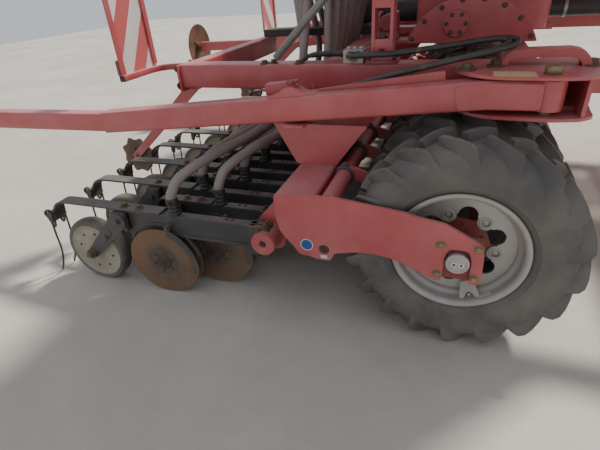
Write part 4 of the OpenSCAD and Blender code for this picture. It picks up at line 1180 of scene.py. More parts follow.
def make_seed_hoses():
    """Ribbed hoses from the distributor head down to the coulters."""
    boot = made_mesh(boot_form(), "hose_boot", BLACK_HOSE, 40)
    tie = made_mesh(tie_form(), "hose_tie", TIE, 30)
    for side in (-1, 1):
        for ahead in (False, True):
            for i in range(6):
                path = evenly(curved(hose_route(i, ahead), 14), 5.5)
                radii = [21.9 if k % 2 else 19.0 for k in range(len(path))]
                hose = Form()
                hose.tube(path, radii, 11)
                if side > 0:
                    hose = hose.moved(MIRROR)
                tag = f"{'short' if ahead else 'long'}_{i + 1}_{'left' if side > 0 else 'right'}"
                piece = placed(hose, "seed_hose_" + tag, None, HOSE, ("seed_hoses",),
                               sharp=75)
                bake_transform(piece)
                xb = SHORT_X + DISC_AHEAD + 40 if ahead else LONG_X + DISC_AHEAD + 90
                yb = side * (i + (0.25 if ahead else 0.75)) * TYRE_PITCH
                set_down(boot, "hose_boot_" + tag, "coulter_bar", (), (xb, yb, 0))
                set_down(tie, "hose_tie_" + tag, "coulter_bar", (), (xb, yb, 0),
                         turn=Matrix.Rotation(1.3 * i, 4, "Z"))


make_seed_hoses()


# Main frame and marker arms

PIVOT = (200, -1225)
KINK_X, ARM_MID = 30, 860
ARM_LONG, ARM_OUT = 1560, 960
DROOP, TIP_DROOP = math.radians(5.4), math.radians(1)


def droop_point(a, h):
    """A point a along the drooping tube and h over its middle line."""
    return (KINK_X - a * math.cos(DROOP) - h * math.sin(DROOP),
            ARM_MID - a * math.sin(DROOP) + h * math.cos(DROOP))


TIP_X, TIP_Z = droop_point(ARM_LONG, 0)
END_X = TIP_X - ARM_OUT * math.cos(TIP_DROOP)
END_Z = TIP_Z - ARM_OUT * math.sin(TIP_DROOP)
SHELF = ARM_MID - (KINK_X + 660) * math.tan(DROOP) - 45 / math.cos(DROOP) - 5


def tip_point(a, h):
    """The same on the outer tube."""
    return (TIP_X - a * math.cos(TIP_DROOP) - h * math.sin(TIP_DROOP),
            TIP_Z - a * math.sin(TIP_DROOP) + h * math.cos(TIP_DROOP))


def lofted(form, rings):
    """Rings of corners joined one to the next, with a face on each end."""
    n = len(rings[0])
    faces = [tuple(range(n)), tuple((len(rings) - 1) * n + k for k in reversed(range(n)))]
    for i in range(len(rings) - 1):
        for k in range(n):
            j = (k + 1) % n
            faces.append((i * n + k, (i + 1) * n + k, (i + 1) * n + j, i * n + j))
    form.add([p for ring in rings for p in ring], faces)


def tube_ring(x, z, lean, half, y0, y1, r=9):
    """A rounded box section standing across a tube at one place."""
    loop = eased([(y0, -half), (y1, -half), (y1, half), (y0, half)], r, 4)
    return [(x - h * math.sin(lean), y, z + h * math.cos(lean)) for y, h in loop]


def beam(form, x0, x1, y0, y1, z0, z1, along, r=9):
    """A square tube with rounded edges along x or y."""
    if along == "x":
        form.slab(eased([(y0, z0), (y1, z0), (y1, z1), (y0, z1)], r, 4), x0, x1, across="x")
    else:
        form.slab(eased([(x0, z0), (x1, z0), (x1, z1), (x0, z1)], r, 4), y0, y1)


def seam(form, path, radius=3.0):
    """A weld bead laid along a path, its ripples as changes of thickness."""
    run = evenly([Vector(p) for p in path], 5)
    form.tube(run, [radius * (1.0 if k % 2 else 0.82) for k in range(len(run))], 8)


def marker_arm_form():
    """Thick tube from the pivot, thinner tube pushed into it, rib and curved catch."""
    form = Form()
    y = PIVOT[1]
    rings = [tube_ring(200, ARM_MID, 0, 45, y - 40, y + 40),
             tube_ring(KINK_X, ARM_MID, DROOP / 2, 45 / math.cos(DROOP / 2), y - 40, y + 40)]
    for a in (ARM_LONG - 5, ARM_LONG):
        x, z = droop_point(a, 0)
        rings.append(tube_ring(x, z, DROOP, 45, y - 40, y + 40))
    lofted(form, rings)
    form.turned([(20.3, 815), (45, 815), (45, 905), (20.3, 905)], (200, y, 0), "z", 40)
    rings = []
    for a in (-40, ARM_OUT):
        x, z = tip_point(a, 0)
        rings.append(tube_ring(x, z, TIP_DROOP, 40, y - 34, y + 34, 8))
    lofted(form, rings)
    rib = [droop_point(130, 37), droop_point(130, 75), droop_point(590, 51),
           droop_point(590, 37)]
    slot = [droop_point(a, h) for a, h in ((540, 42), (572, 42), (572, 47), (540, 48))]
    form.slab(eased(rib, 5, 4), y + 24, y + 39, [slot])
    # cheek plates that stiffen the tube up to its kink
    for side in (-1, 1):
        cheek = [(178, 822), (178, 898), (34, 899), (-58, 891), (-70, 880), (-58, 813), (34, 821)]
        low, high = sorted((y + side * 39.5, y + side * 44.5))
        form.slab(eased(cheek, 8, 4), low, high)
    top = [droop_point(a, h) for a, h in ((770, 41), (740, 50), (712, 61), (690, 73), (672, 79),
                                          (650, 79), (632, 70), (610, 56), (575, 49), (560, 43))]
    top = curved([(p[0], p[1]) for p in top], 4)
    form.slab([tuple(p) for p in top] + [droop_point(560, 40), droop_point(770, 40)],
              y - 30, y + 30)
    return form


def marker_arm_small_form():
    """Weld beads, bolts and the stub of one marker arm."""
    form = Form()
    y = PIVOT[1]
    ring = tube_ring(*droop_point(ARM_LONG, 0), DROOP, 41, y - 35, y + 35, 8)
    seam(form, ring + ring[:1], 4)
    for off in (24, 39):
        seam(form, [(droop_point(a, 46)[0], y + off, droop_point(a, 46)[1])
                    for a in (134, 300, 450, 586)], 2.6)
    x, z = droop_point(661, 79)
    form.bolt((x, y, z - 1), 28, 15, "z")
    form.turned([(0, 0), (15, 0), (15, 92), (0, 92)], (END_X - 72, y, END_Z), "x", 32, False)
    form.turned([(0, 0), (21, 0), (24, 2), (24, 8), (0, 8)], (END_X - 78, y, END_Z), "x", 32,
                False)
    return form


def marker_disc_form():
    """Dished disc on a bolted hub."""
    form = Form()
    form.turned([(15.3, 0), (40, 0), (40, 3), (90, 8), (150, 20), (200, 34), (200, 38),
                 (150, 25), (90, 13), (60, 13), (40, 15), (38, 42), (34, 44), (15.3, 44)],
                (0, 0, 0), "x", 72)
    for k in range(4):
        a = math.radians(90 * k + 45)
        form.bolt((13, 56 * math.cos(a), 56 * math.sin(a)), 13, 8, "x")
    return form


def make_marker_arms():
    """Both marker arms laid back, with their discs."""
    form = marker_arm_form()
    small = marker_arm_small_form()
    disc = made_mesh(marker_disc_form(), "marker_disc", RUST, 30)
    for side, word in SIDES:
        shown = form if side < 0 else form.moved(MIRROR)
        placed(shown, "marker_arm_tubes_" + word, "marker_" + word, RED,
               ("marker_arm_" + word,), bevel=1.2)
        placed(small if side < 0 else small.moved(MIRROR), "marker_arm_fittings_" + word,
               "marker_" + word, RED_SMALL)
        set_down(disc, "marker_disc_" + word + "_shown", "marker_disc_" + word[0],
                 ("marker_disc_" + word,), (END_X - 66, -side * PIVOT[1], END_Z))


make_marker_arms()


def head_outline():
    """The plate that holds the marker arm's pivot, seen from above."""
    return [(-84, -1125), (-76, -1158), (-60, -1190), (-36, -1222), (-7, -1248), (22, -1265),
            (54, -1274), (212, -1286), (290, -1270), (330, -1236), (351, -955), (338, -928),
            (313, -915), (246, -912), (200, -950), (130, -1022), (-13, -1022), (-60, -1060)]


def head_form():
    """Upper and lower plate, their spacers, the web between them and the handle."""
    form = Form()
    plate = eased(head_outline(), 12, 4)
    form.slab(plate, 910, 920, across="z")
    form.slab(plate, 790, 800, across="z")
    form.block(120, 330, -1170, -995, 800, 810)
    form.slab(eased([(-1262, 800), (-1000, 800), (-1000, 910), (-1262, 910)], 3, 3), 290, 302,
              across="x")
    rail = [(48, 915), (76, 958), (90, 970), (262, 974), (292, 968), (314, 946), (326, 915),
            (300, 915), (290, 934), (276, 944), (256, 948), (98, 945), (92, 941), (74, 915)]
    form.slab(eased(rail, 7, 4), -1112, -1054)
    return form


def saddle_form():
    """Shelf under the arm with its upright hook, turned over at the top."""
    form = Form()
    s = SHELF
    form.slab(eased([(-660, -1280), (-580, -1280), (-580, -1000), (-660, -1000)], 5, 3),
              s - 10, s, across="z")
    hook = [(-660, s), (-580, s), (-590, s + 60), (-636, s + 126), (-648, s + 134),
            (-765, s + 122), (-756, s + 66), (-690, s + 56)]
    form.slab(eased(hook, 8, 4), -1179, -1167)
    form.slab([(-642, s + 134), (-765, s + 122), (-765, s + 112), (-642, s + 124)],
              -1168, -1125)
    form.slab([(-1167, s), (-1060, s), (-1159, s + 90), (-1167, s + 90)], -626, -614, across="x")
    form.block(-626, -614, -1012, -1000, s, 830)
    return form


def head_bolts_form():
    """Heads and nuts on the head plates, the pivot pin and the beam's top."""
    form = Form()
    for x, y in ((-42, -1175), (49, -1104), (323, -1093)):
        form.bolt((x, y, 920), 28, 16, "z")
        form.bolt((x, y, 790), 26, 4 if x < 100 else 20, "-z", x > 100)
    for x, y in ((228, -960), (320, -960)):
        form.bolt((x, y, 790), 24, 18, "-z")
    for x in (-842, -688, 420, 900, 1290):
        form.bolt((x, -978, 910), 20, 11, "z")
    for z in (822, 898):
        for y in (-1008, -892):
            form.bolt((-1262, y, z), 17, 10, "-x")
    return form


def pin_form():
    """Pivot pin with its collar and a chamfered top."""
    form = Form()
    form.turned([(0, 790), (20, 790), (20, 941), (18.5, 943), (0, 943)], (*PIVOT, 0), "z", 36,
                False)
    form.turned([(20, 920), (24, 920), (25, 921.5), (25, 939), (24, 941), (20, 941)],
                (*PIVOT, 0), "z", 36)
    form.turned([(0, 780), (30, 780), (30, 790), (0, 790)], (*PIVOT, 0), "z", 6, False)
    return form


def make_main_frame():
    """Long and cross beams, plates, shelves and lugs."""
    for side, word in SIDES:
        form = Form()
        beam(form, -1250, 1350, -1000, -900, 810, 910, "x")
        end = eased([(-1015, 795), (-885, 795), (-885, 910), (-1015, 910)], 8, 3)
        form.slab(end, -1262, -1250, across="x")
        lugs = Form()
        for y in (-836.5, -780.5):
            lug = eased([(-1340, 768), (-1262, 765), (-1262, 815), (-1340, 812)], 20, 5)
            lugs.slab(lug, y, y + 10)
        form.join(lugs)
        seams = Form()
        for y in (-900, -1000):
            seam(seams, [(130, y, 811), (330, y, 811)], 3.5)
        seam(seams, [(-60, -1000, 909), (130, -1022, 909)], 3)
        seam(seams, [(290, -1005, 805), (290, -1005, 905)], 4)
        form.join(seams)
        flip = (lambda f: f) if side < 0 else (lambda f: f.moved(MIRROR))
        placed(flip(form), "long_beam_" + word, "chassis", RED, ("main_frame",),
               bevel=1.0)
        placed(flip(head_form()), "head_plates_" + word, "chassis", RED,
               ("main_frame",), bevel=1.6)
        placed(flip(saddle_form()), "arm_shelf_" + word, "chassis", RED,
               ("main_frame",), bevel=1.2)
        placed(flip(head_bolts_form()), "head_bolts_" + word, "chassis", DARK_BOLT)
        placed(flip(pin_form()), "pivot_pin_" + word, "chassis", ZINC)
        pin = Form()
        pin.rod((-1308, -842, 790), (-1308, -764, 790), 10, 20)
        pin.bolt((-1308, -842, 790), 20, 9, "-y")
        pin.bolt((-1308, -764, 790), 20, 12, "y")
        placed(flip(pin), "small_arm_pin_" + word, "chassis", DARK_BOLT)
    form = Form()
    for x0, x1 in ((-1262, -1200), (-600, -500), (100, 200), (1250, 1350)):
        beam(form, x0, x1, -905, 905, 810, 910, "y")
    beam(form, 1060, 1180, -905, 905, 870, 910, "y", 6)
    form.slab(eased([(-260, 790), (260, 790), (260, 930), (-260, 930)], 6, 3), 1230, 1350,
              across="x")
    for x in (-600, -500, 100, 200, 1250):
        for side in (-1, 1):
            seam(form, [(x, side * 899, 812), (x, side * 899, 908)], 3)
    placed(form, "cross_beams", "chassis", RED, ("main_frame",), bevel=1.0)
    plate = Form()
    plate.slab(eased([(35, -1270), (154, -1276), (154, -1200), (35, -1194)], 3, 3), 920.2, 920.8,
               across="z")
    placed(plate, "yellow_plate", "chassis", YELLOW)


make_main_frame()


# Small notched discs behind the tines

def premark_form():
    """Flat arm from its pin down to the disc."""
    form = Form()
    a, b = (-1308, 790), (-1800, 370)
    form.slab(link_bar(a, b, 30, 20, 12), -812.5, -802.5, [round_loop(a[0], a[1], 10.4, 24)])
    form.rod((-1800, -802.5, 370), (-1800, -780.5, 370), 10, 24)
    form.turned([(0, -774.5), (16, -774.5), (17, -776), (17, -780.5), (0, -780.5)],
                (-1800, 0, 370), "y", 32, False)
    form.bolt((-1800, -812.5, 370), 18, 10)
    return form


def premark_disc_form():
    """Disc with eight scallops and four bolts round its hub."""
    form = Form()
    rim = []
    for k in range(8):
        for j in range(9):
            a = math.radians(45 * k - 12.2 + 24.4 * j / 8)
            off = (j - 4) / 4
            rim.append((92 + 8.4 * off * off, a))
        for j in range(1, 5):
            a = math.radians(45 * k + 12.2 + 20.6 * j / 5)
            rim.append((109.5 - 4.0 * abs(j - 2.5) / 1.5 * (1 if j in (1, 4) else 0.4), a))
    form.slab([(r * math.cos(a), r * math.sin(a)) for r, a in rim], 18, 24,
              [round_loop(0, 0, 10.3, 28)])
    form.turned([(10.3, 14), (26, 14), (28, 15.5), (28, 18), (10.3, 18)], steps=32)
    for k in range(4):
        a = math.radians(90 * k + 20)
        form.bolt((38 * math.cos(a), 18, 38 * math.sin(a)), 11, 6, "-y")
    return form


def make_premarks():
    """Arms and discs on both sides."""
    disc = premark_disc_form()
    for side, word in SIDES:
        form = premark_form()
        placed(form if side < 0 else form.moved(MIRROR), "small_arm_" + word, "premark_" + word,
               RED, ("premark_arm_" + word,), bevel=1.2)
        shape = disc if side < 0 else disc.moved(MIRROR)
        mesh = made_mesh(shape, "small_disc_" + word, RUSTY_DISC, 30)
        set_down(mesh, "small_disc_" + word, "premark_disc_" + word[0],
                 ("premark_disc_" + word,), (-1800, side * 812.5, 370), bevel=0.8)


make_premarks()


# Boards, lamps, hydraulics and springs

def square_tube(form, path, half):
    """A square tube with eased edges bent along a level or sloping path."""
    rings = []
    for i, p in enumerate(path):
        way = (path[min(i + 1, len(path) - 1)] - path[max(i - 1, 0)]).normalized()
        side = way.cross(Vector((0, 0, 1))).normalized()
        over = side.cross(way)
        loop = eased([(-half, -half), (half, -half), (half, half), (-half, half)], 5, 3)
        rings.append([tuple(p + side * u + over * v) for u, v in loop])
    lofted(form, rings)


def make_boards():
    """Warning boards with their frames, carriers and lamps."""
    for side, word in SIDES:
        flip = (lambda f: f) if side < 0 else (lambda f: f.moved(MIRROR))
        stripes = WHITE_RIGHT if side < 0 else WHITE_LEFT
        sheet = Form()
        sheet.slab([(-996, 862), (-722, 862), (-722, 1390), (-996, 1390)], -1590, -1587, across="x")
        placed(flip(sheet), "warning_board_" + word, "chassis", stripes,
               ("warning_boards",), sharp=30)
        form = Form()
        for y0, y1, low in ((-1000, -970, 860), (-748, -718, 872)):
            form.slab([(y0, low), (y1, low), (y1, 1394), (y0, 1394)], -1587, -1579, across="x")
        form.slab([(-1000, 1366), (-718, 1366), (-718, 1394), (-1000, 1394)], -1587, -1579,
                  across="x")
        bend = curved([(-1262, -660, 848), (-1380, -660, 848), (-1470, -668, 848),
                       (-1550, -700, 848), (-1584, -770, 848), (-1586, -900, 848),
                       (-1586, -1000, 848)], 8)
        square_tube(form, bend, 15)
        square_tube(form, [Vector((-1200, -660, 848)), Vector((-600, -660, 848))], 15)
        placed(flip(form), "board_carrier_" + word, "chassis", RED,
               ("board_carriers",), bevel=1.0)
        plug = Form()
        plug.block(-1600, -1572, -1003, -999, 834, 862)
        placed(flip(plug), "tube_plug_" + word, "chassis", PLASTIC, (), bevel=1)
        lamp = Form()
        lamp.slab(eased([(-980, 850), (-870, 850), (-870, 930), (-980, 930)], 14, 5), -1612, -1590,
                  across="x")
        placed(flip(lamp), "lamp_case_" + word, "chassis", PLASTIC, (), bevel=2)
        glass = Form()
        glass.slab(eased([(-976, 854), (-910, 854), (-910, 926), (-976, 926)], 11, 5), -1628,
                   -1612, across="x")
        placed(flip(glass), "lamp_red_" + word, "chassis", LAMP, ("rear_lamps",),
               bevel=3)
        amber = Form()
        amber.slab(eased([(-907, 854), (-874, 854), (-874, 926), (-907, 926)], 9, 5), -1628,
                   -1612, across="x")
        placed(flip(amber), "lamp_amber_" + word, "chassis", AMBER, (), bevel=3)


make_boards()


def hydraulic_route(k):
    """One hose that loops forward from the block and comes back beside the marker arm."""
    y, w, z = -1018 - 24 * k, -1160 + 24 * k, 944
    x, f = -438 - 34 * k, 104 - 26 * k
    q = y - 14
    stand = SHELF - 10
    return [(x, -990.2, z), (x, -1000 - 20 * k, z), (x + 30, y, z + 2), (-300, y, z + 8),
            (-120, y - 6, z + 30), (10, q, z + 50), (f - 20, 0.75 * q + 0.25 * w, z + 56),
            (f, 0.5 * q + 0.5 * w, z + 50), (f - 20, 0.25 * q + 0.75 * w, z + 40),
            (10, w, z + 26), (-120, w, z - 4), (-330, w, z - 56), (-460, w, z - 96),
            (-525, w + 4, z - 130), (-552, w + 14, z - 160), (-560, w + 16, stand + 14),
            (-560.1, w + 16.1, stand + 0.5)]


def make_hydraulics():
    """Alloy block with its fittings and the two hoses."""
    form = Form()
    form.block(-500, -420, -990, -910, 910, 958)
    for x in (-485, -460, -435):
        form.turned([(0, 958), (9, 958), (9, 966), (7.5, 968), (0, 968)], (x, -950, 0), "z", 6,
                    False)
    placed(form, "hydraulic_block_body", "chassis", ALLOY, ("hydraulic_block",),
           bevel=1.5)
    small = Form()
    small.bolt((-458, -990, 934), 19, 10)
    placed(small, "hydraulic_block_bolts", "chassis", ZINC)
    hoses = Form()
    ends = Form()
    for k in (0, 1):
        run = evenly(curved(hydraulic_route(k), 10), 9)
        hoses.tube(run, 9.0, 14)
        x = -438 - 34 * k
        ends.turned([(0, -990.2), (13, -990.2), (13, -1001), (0, -1001)], (x, 0, 944), "y", 6,
                    False)
        n = 4
        ends.tube([run[n], run[n + 1], run[n + 2], run[n + 3]], 12.5, 6)
        foot = -1144 + 24 * k
        ends.turned([(0, SHELF - 10), (12, SHELF - 10), (12, SHELF + 4), (9, SHELF + 10),
                     (0, SHELF + 10)], (-560, foot, 0), "z", 6, False)
        for part in (0.22, 0.66):
            n = int(len(run) * part)
            ends.tube([run[n], run[n + 1], run[n + 2]], 10.2, 14)
    placed(hoses, "hydraulic_hose_pair", "chassis", BLACK_HOSE,
           ("hydraulic_hoses",), sharp=60)
    placed(ends, "hydraulic_fittings", "chassis", DARK_BOLT)
    # short black lines that leave the block towards the back along the beam
    line = Form()
    back = curved([(-500, -960, 942), (-530, -960, 943), (-590, -962, 943), (-640, -964, 938),
                   (-668, -966, 926), (-676, -968, 917)], 8)
    line.tube(back, [11 if i < 24 else 8.5 for i in range(len(back))], 14)
    line.tube([Vector((-500, -960, 942)), Vector((-516, -960, 942))], 15, 6)
    line.tube([Vector((-552, -961, 943)), Vector((-572, -962, 943))], 14, 6)
    line.tube([Vector((-606, -962, 943)), Vector((-612, -962, 942))], 12.5, 14)
    placed(line, "hydraulic_elbow", "chassis", BLACK_HOSE, (), sharp=40)


make_hydraulics()


def make_springs():
    """Coil springs that hold the hoses up, hooked to a bolt on the beam."""
    for side, word in SIDES:
        a, b = Vector((-797, -986, 923)), Vector((-404, -970, 1306))
        way = (b - a).normalized()
        one = way.orthogonal().normalized()
        two = way.cross(one)
        length = (b - a).length
        path = []
        turns, coil, wire, gap = 74, 14, 2.7, 14
        for i in range(turns * 10 + 1):
            s = 2 * math.pi * i / 10
            at = a + way * (gap + (length - 2 * gap) * i / (turns * 10))
            path.append(at + one * (coil * math.cos(s)) + two * (coil * math.sin(s)))
        form = Form()
        form.tube(path, wire, 6)
        # painted shade: a black core along the inside of the coil stands for the dark hollow of the
        # spring
        shade_core = Form()
        shade_core.tube([a + way * 16, b - way * 16], 11, 12)
        shaded = shade_core if side < 0 else shade_core.moved(MIRROR)
        placed(form if side < 0 else form.moved(MIRROR), "hose_spring_" + word, "chassis",
               SPRING, ("hose_springs",), sharp=60)
        placed(shaded, "spring_inside_" + word, "chassis", PLASTIC)
        hook = Form()
        hook.tube(curved([tuple(a + way * 16), tuple(a + way * 6), (-797, -986, 923),
                          (-802, -976, 914)], 5), 3.0, 8)
        hook.bolt((-804, -968, 910), 19, 13, "z")
        placed(hook if side < 0 else hook.moved(MIRROR), "spring_hook_" + word, "chassis",
               DARK_BOLT)


make_springs()


# Hopper, metering, fan and distributor

def make_hopper():
    """Hopper skin with its rolled rim, pressed ribs, hinges and lid."""
    skin = Form()
    t = 3.5
    top, brk, sump = 2200, 1640, 1150
    rear, front, half = -450, 850, 1200
    # under the break the walls taper to the sump
    share = (brk - 1540) / (brk - sump)
    levels = [(top, rear, front, half), (brk, rear, front, half),
              (1540, rear + 150 * share, front - 550 * share, half), (sump, -300, 300, 344)]

    def ring(level, inset):
        z, x0, x1, y = level
        return [(x0 + inset, -y + inset, z), (x1 - inset, -y + inset, z),
                (x1 - inset, y - inset, z), (x0 + inset, y - inset, z)]

    outer = [ring(level, 0) for level in levels]
    inner = [ring(level, t) for level in levels]
    points = [p for r in outer + inner for p in r]
    m = len(levels)
    faces = []
    for i in range(m - 1):
        for k in range(4):
            j = (k + 1) % 4
            a, b = i * 4, (i + 1) * 4
            faces.append((a + k, a + j, b + j, b + k))
            c, d = (m + i) * 4, (m + i + 1) * 4
            faces.append((c + k, d + k, d + j, c + j))
    for k in range(4):
        j = (k + 1) % 4
        faces.append((k, m * 4 + k, m * 4 + j, j))
    low = (m - 1) * 4
    faces.append((low, low + 1, low + 2, low + 3))
    low = (2 * m - 1) * 4
    faces.append((low + 3, low + 2, low + 1, low))
    skin.add(points, faces)
    placed(skin, "hopper_skin", "chassis", RED, ("hopper",), bevel=1.0, sharp=20)
    rim = Form()
    for x in (rear, front):
        rim.slab(eased([(x - 6, 2168), (x + 6, 2168), (x + 6, 2199), (x - 6, 2199)], 5, 3), -1206,
                 1200)
    rim.slab(eased([(-1206, 2168), (-1194, 2168), (-1194, 2199), (-1206, 2199)], 5, 3), -456, 856,
             across="x")
    for z in (1652, 1900):
        for x in (rear - 5, front - 1):
            rim.slab(eased([(x, z), (x + 6, z), (x + 6, z + 26), (x, z + 26)], 3, 3), -1190, 1190)
        rim.slab(eased([(-1205, z), (-1199, z), (-1199, z + 26), (-1205, z + 26)], 3, 3), -440,
                 840, across="x")
    for y in (-800, -400, 0, 400, 800):
        for x in (rear - 4, front - 1):
            rim.block(x, x + 5, y - 14, y + 14, 1680, 2168)
    placed(rim, "hopper_rim", "chassis", RED, (), bevel=1.5)
    hinge = Form()
    for x in (-260, 600):
        hinge.turned([(0, x - 30), (9, x - 30), (9, x + 30), (0, x + 30)], (0, 1218, 2206), "x",
                     24, False)
        hinge.turned([(0, x + 30), (4, x + 30), (4, x + 94), (6, x + 94), (6, x + 99),
                      (0, x + 99)], (0, 1218, 2206), "x", 20, False)
        hinge.block(x - 30, x + 30, 1200, 1212, 2140, 2200)
        hinge.block(x - 30, x + 30, 1206, 1212, 2190, 2206)
        for z in (2152, 2176):
            hinge.bolt((x - 12, 1212, z), 10, 6, "y")
            hinge.bolt((x + 14, 1212, z), 10, 6, "y")
    placed(hinge, "hopper_hinges", "chassis", STEEL)
    lid = Form()
    lid.slab(eased([(-460, 2200.3), (860, 2200.3), (860, 2212), (-460, 2212)], 3, 3), -1210, 1204)
    hood = [(-390, 2211), (-270, 2270), (670, 2270), (790, 2211)]
    lid.slab(eased(hood, 40, 6), -1000, 1000)
    for x in (-260, 600):
        lid.turned([(4.3, x + 30.3), (9, x + 30.3), (9, x + 90), (4.3, x + 90)], (0, 1218, 2206),
                   "x", 24)
        lid.block(x + 30.3, x + 90, 1200, 1216, 2203, 2209)
    placed(lid, "hopper_lid_cover", "lid", COVER, ("hopper_lid",), bevel=2)
    handle = Form()
    grip = curved([(60, -1190, 2212), (60, -1190, 2240), (90, -1190, 2252), (200, -1190, 2252),
                   (300, -1190, 2252), (330, -1190, 2240), (330, -1190, 2212)], 6)
    handle.tube(grip, 8, 14)
    placed(handle, "hopper_lid_handle", "lid", STEEL, (), sharp=50)
    stand = Form()
    for side in (-1, 1):
        for x in (-350, 750):
            near, far = side * 910, side * 990
            if x < 0:
                # two side plates with a window for the drive, boxed in above it
                for x0 in (x - 40, x + 28):
                    stand.slab([(near, 922), (far, 922), (far, 1444), (near, 1408)], x0, x0 + 12,
                               across="x")
                stand.slab([(near, 1100), (far, 1100), (far, 1444), (near, 1408)], x - 30, x + 30,
                           across="x")
                low, high = sorted((far, far - side * 8))
                stand.slab([(x - 28, 922), (x + 28, 922), (x + 28, 996), (x - 28, 996)], low, high,
                           [[(x - 12, 938), (x + 12, 938), (x + 12, 962), (x - 12, 962)]])
            else:
                stand.slab([(710, 922), (790, 922), (790, 1586), (710, 1515)], min(near, far),
                           max(near, far))
            low, high = min(side * 900, side * 1000), max(side * 900, side * 1000)
            stand.slab(eased([(x - 60, low), (x + 60, low), (x + 60, high), (x - 60, high)], 8, 3),
                       910, 922, across="z")
    placed(stand, "hopper_posts", "chassis", RED, ("hopper_stand",), bevel=2.5)
    bolts = Form()
    for side in (-1, 1):
        for x in (-350, 750):
            for dx in (-50, 50):
                for dy in (-34, 34):
                    bolts.bolt((x + dx, side * 950 + dy, 922), 13, 8, "z", False)
    placed(bolts, "hopper_post_bolts", "chassis", DARK_BOLT)


make_hopper()


def make_metering():
    """Metering unit under the hopper, its drum housing and drive motor."""
    form = Form()
    box = eased([(-300, -300), (300, -300), (300, 300), (-300, 300)], 70, 7)
    form.slab(box, 940, 1150, across="z")
    form.slab(eased([(-545, 910), (360, 910), (360, 940), (-545, 940)], 3, 3), -60, 60)
    flat = math.asin(100 / 289)
    drum = []
    for k in range(61):
        a = flat + (math.pi - 2 * flat) * k / 60
        drum.append((-40 + 283 * math.cos(a), 822 + 283 * math.sin(a)))
    form.slab(drum, -551, -289)
    rim_line = []
    for k in range(61):
        a = flat + (math.pi - 2 * flat) * k / 60
        rim_line.append((-40 + 288.9 * math.cos(a), 822 + 288.9 * math.sin(a)))
    form.slab(rim_line, -560, -551)
    form.slab(rim_line, -289, -280)
    form.turned([(0, -576), (52, -576), (55, -573), (55, -555), (0, -555)], (-100, 0, 1000), "y",
                40, False)
    form.block(-450, -100, -540, -420, 922, 934)
    for x in (-450, -372):
        plate = [(-540, 922), (-420, 922), (-420, 1040), (-436, 1052), (-524, 1052),
                 (-540, 1040)]
        form.slab(eased(plate, 6, 3), x, x + 12, across="x")
    placed(form, "metering_body", "chassis", RED, ("metering_unit",), bevel=1.8)
    motor = Form()
    motor.turned([(0, -550), (30, -550), (34, -547), (36, -540), (36, -424), (33, -414),
                  (26, -410), (0, -410)], (-405, 0, 1008), "y", 36, False)
    placed(motor, "metering_motor", "chassis", HUB_RED)
    bolts = Form()
    for k in range(8):
        a = flat + 0.1 + (math.pi - 2 * flat - 0.2) * k / 7
        bolts.bolt((-40 + 272 * math.cos(a), -560, 822 + 272 * math.sin(a)), 11, 6)
    for k in range(6):
        a = math.radians(60 * k)
        bolts.bolt((-100 + 40 * math.cos(a), -576, 1000 + 40 * math.sin(a)), 9, 5)
    for x in (-438, -384):
        for y in (-528, -432):
            bolts.bolt((x + 16, y, 934), 10, 6, "z")
    placed(bolts, "metering_bolts", "chassis", DARK_BOLT)
    cover = Form()
    cover.slab(eased([(-230, 965), (230, 965), (230, 1125), (-230, 1125)], 18, 5), 300, 306)
    cover.slab(eased([(-230, 965), (230, 965), (230, 1125), (-230, 1125)], 18, 5), 300, 306,
               across="x")
    placed(cover, "metering_covers", "chassis", RED, (), bevel=1.5)


make_metering()


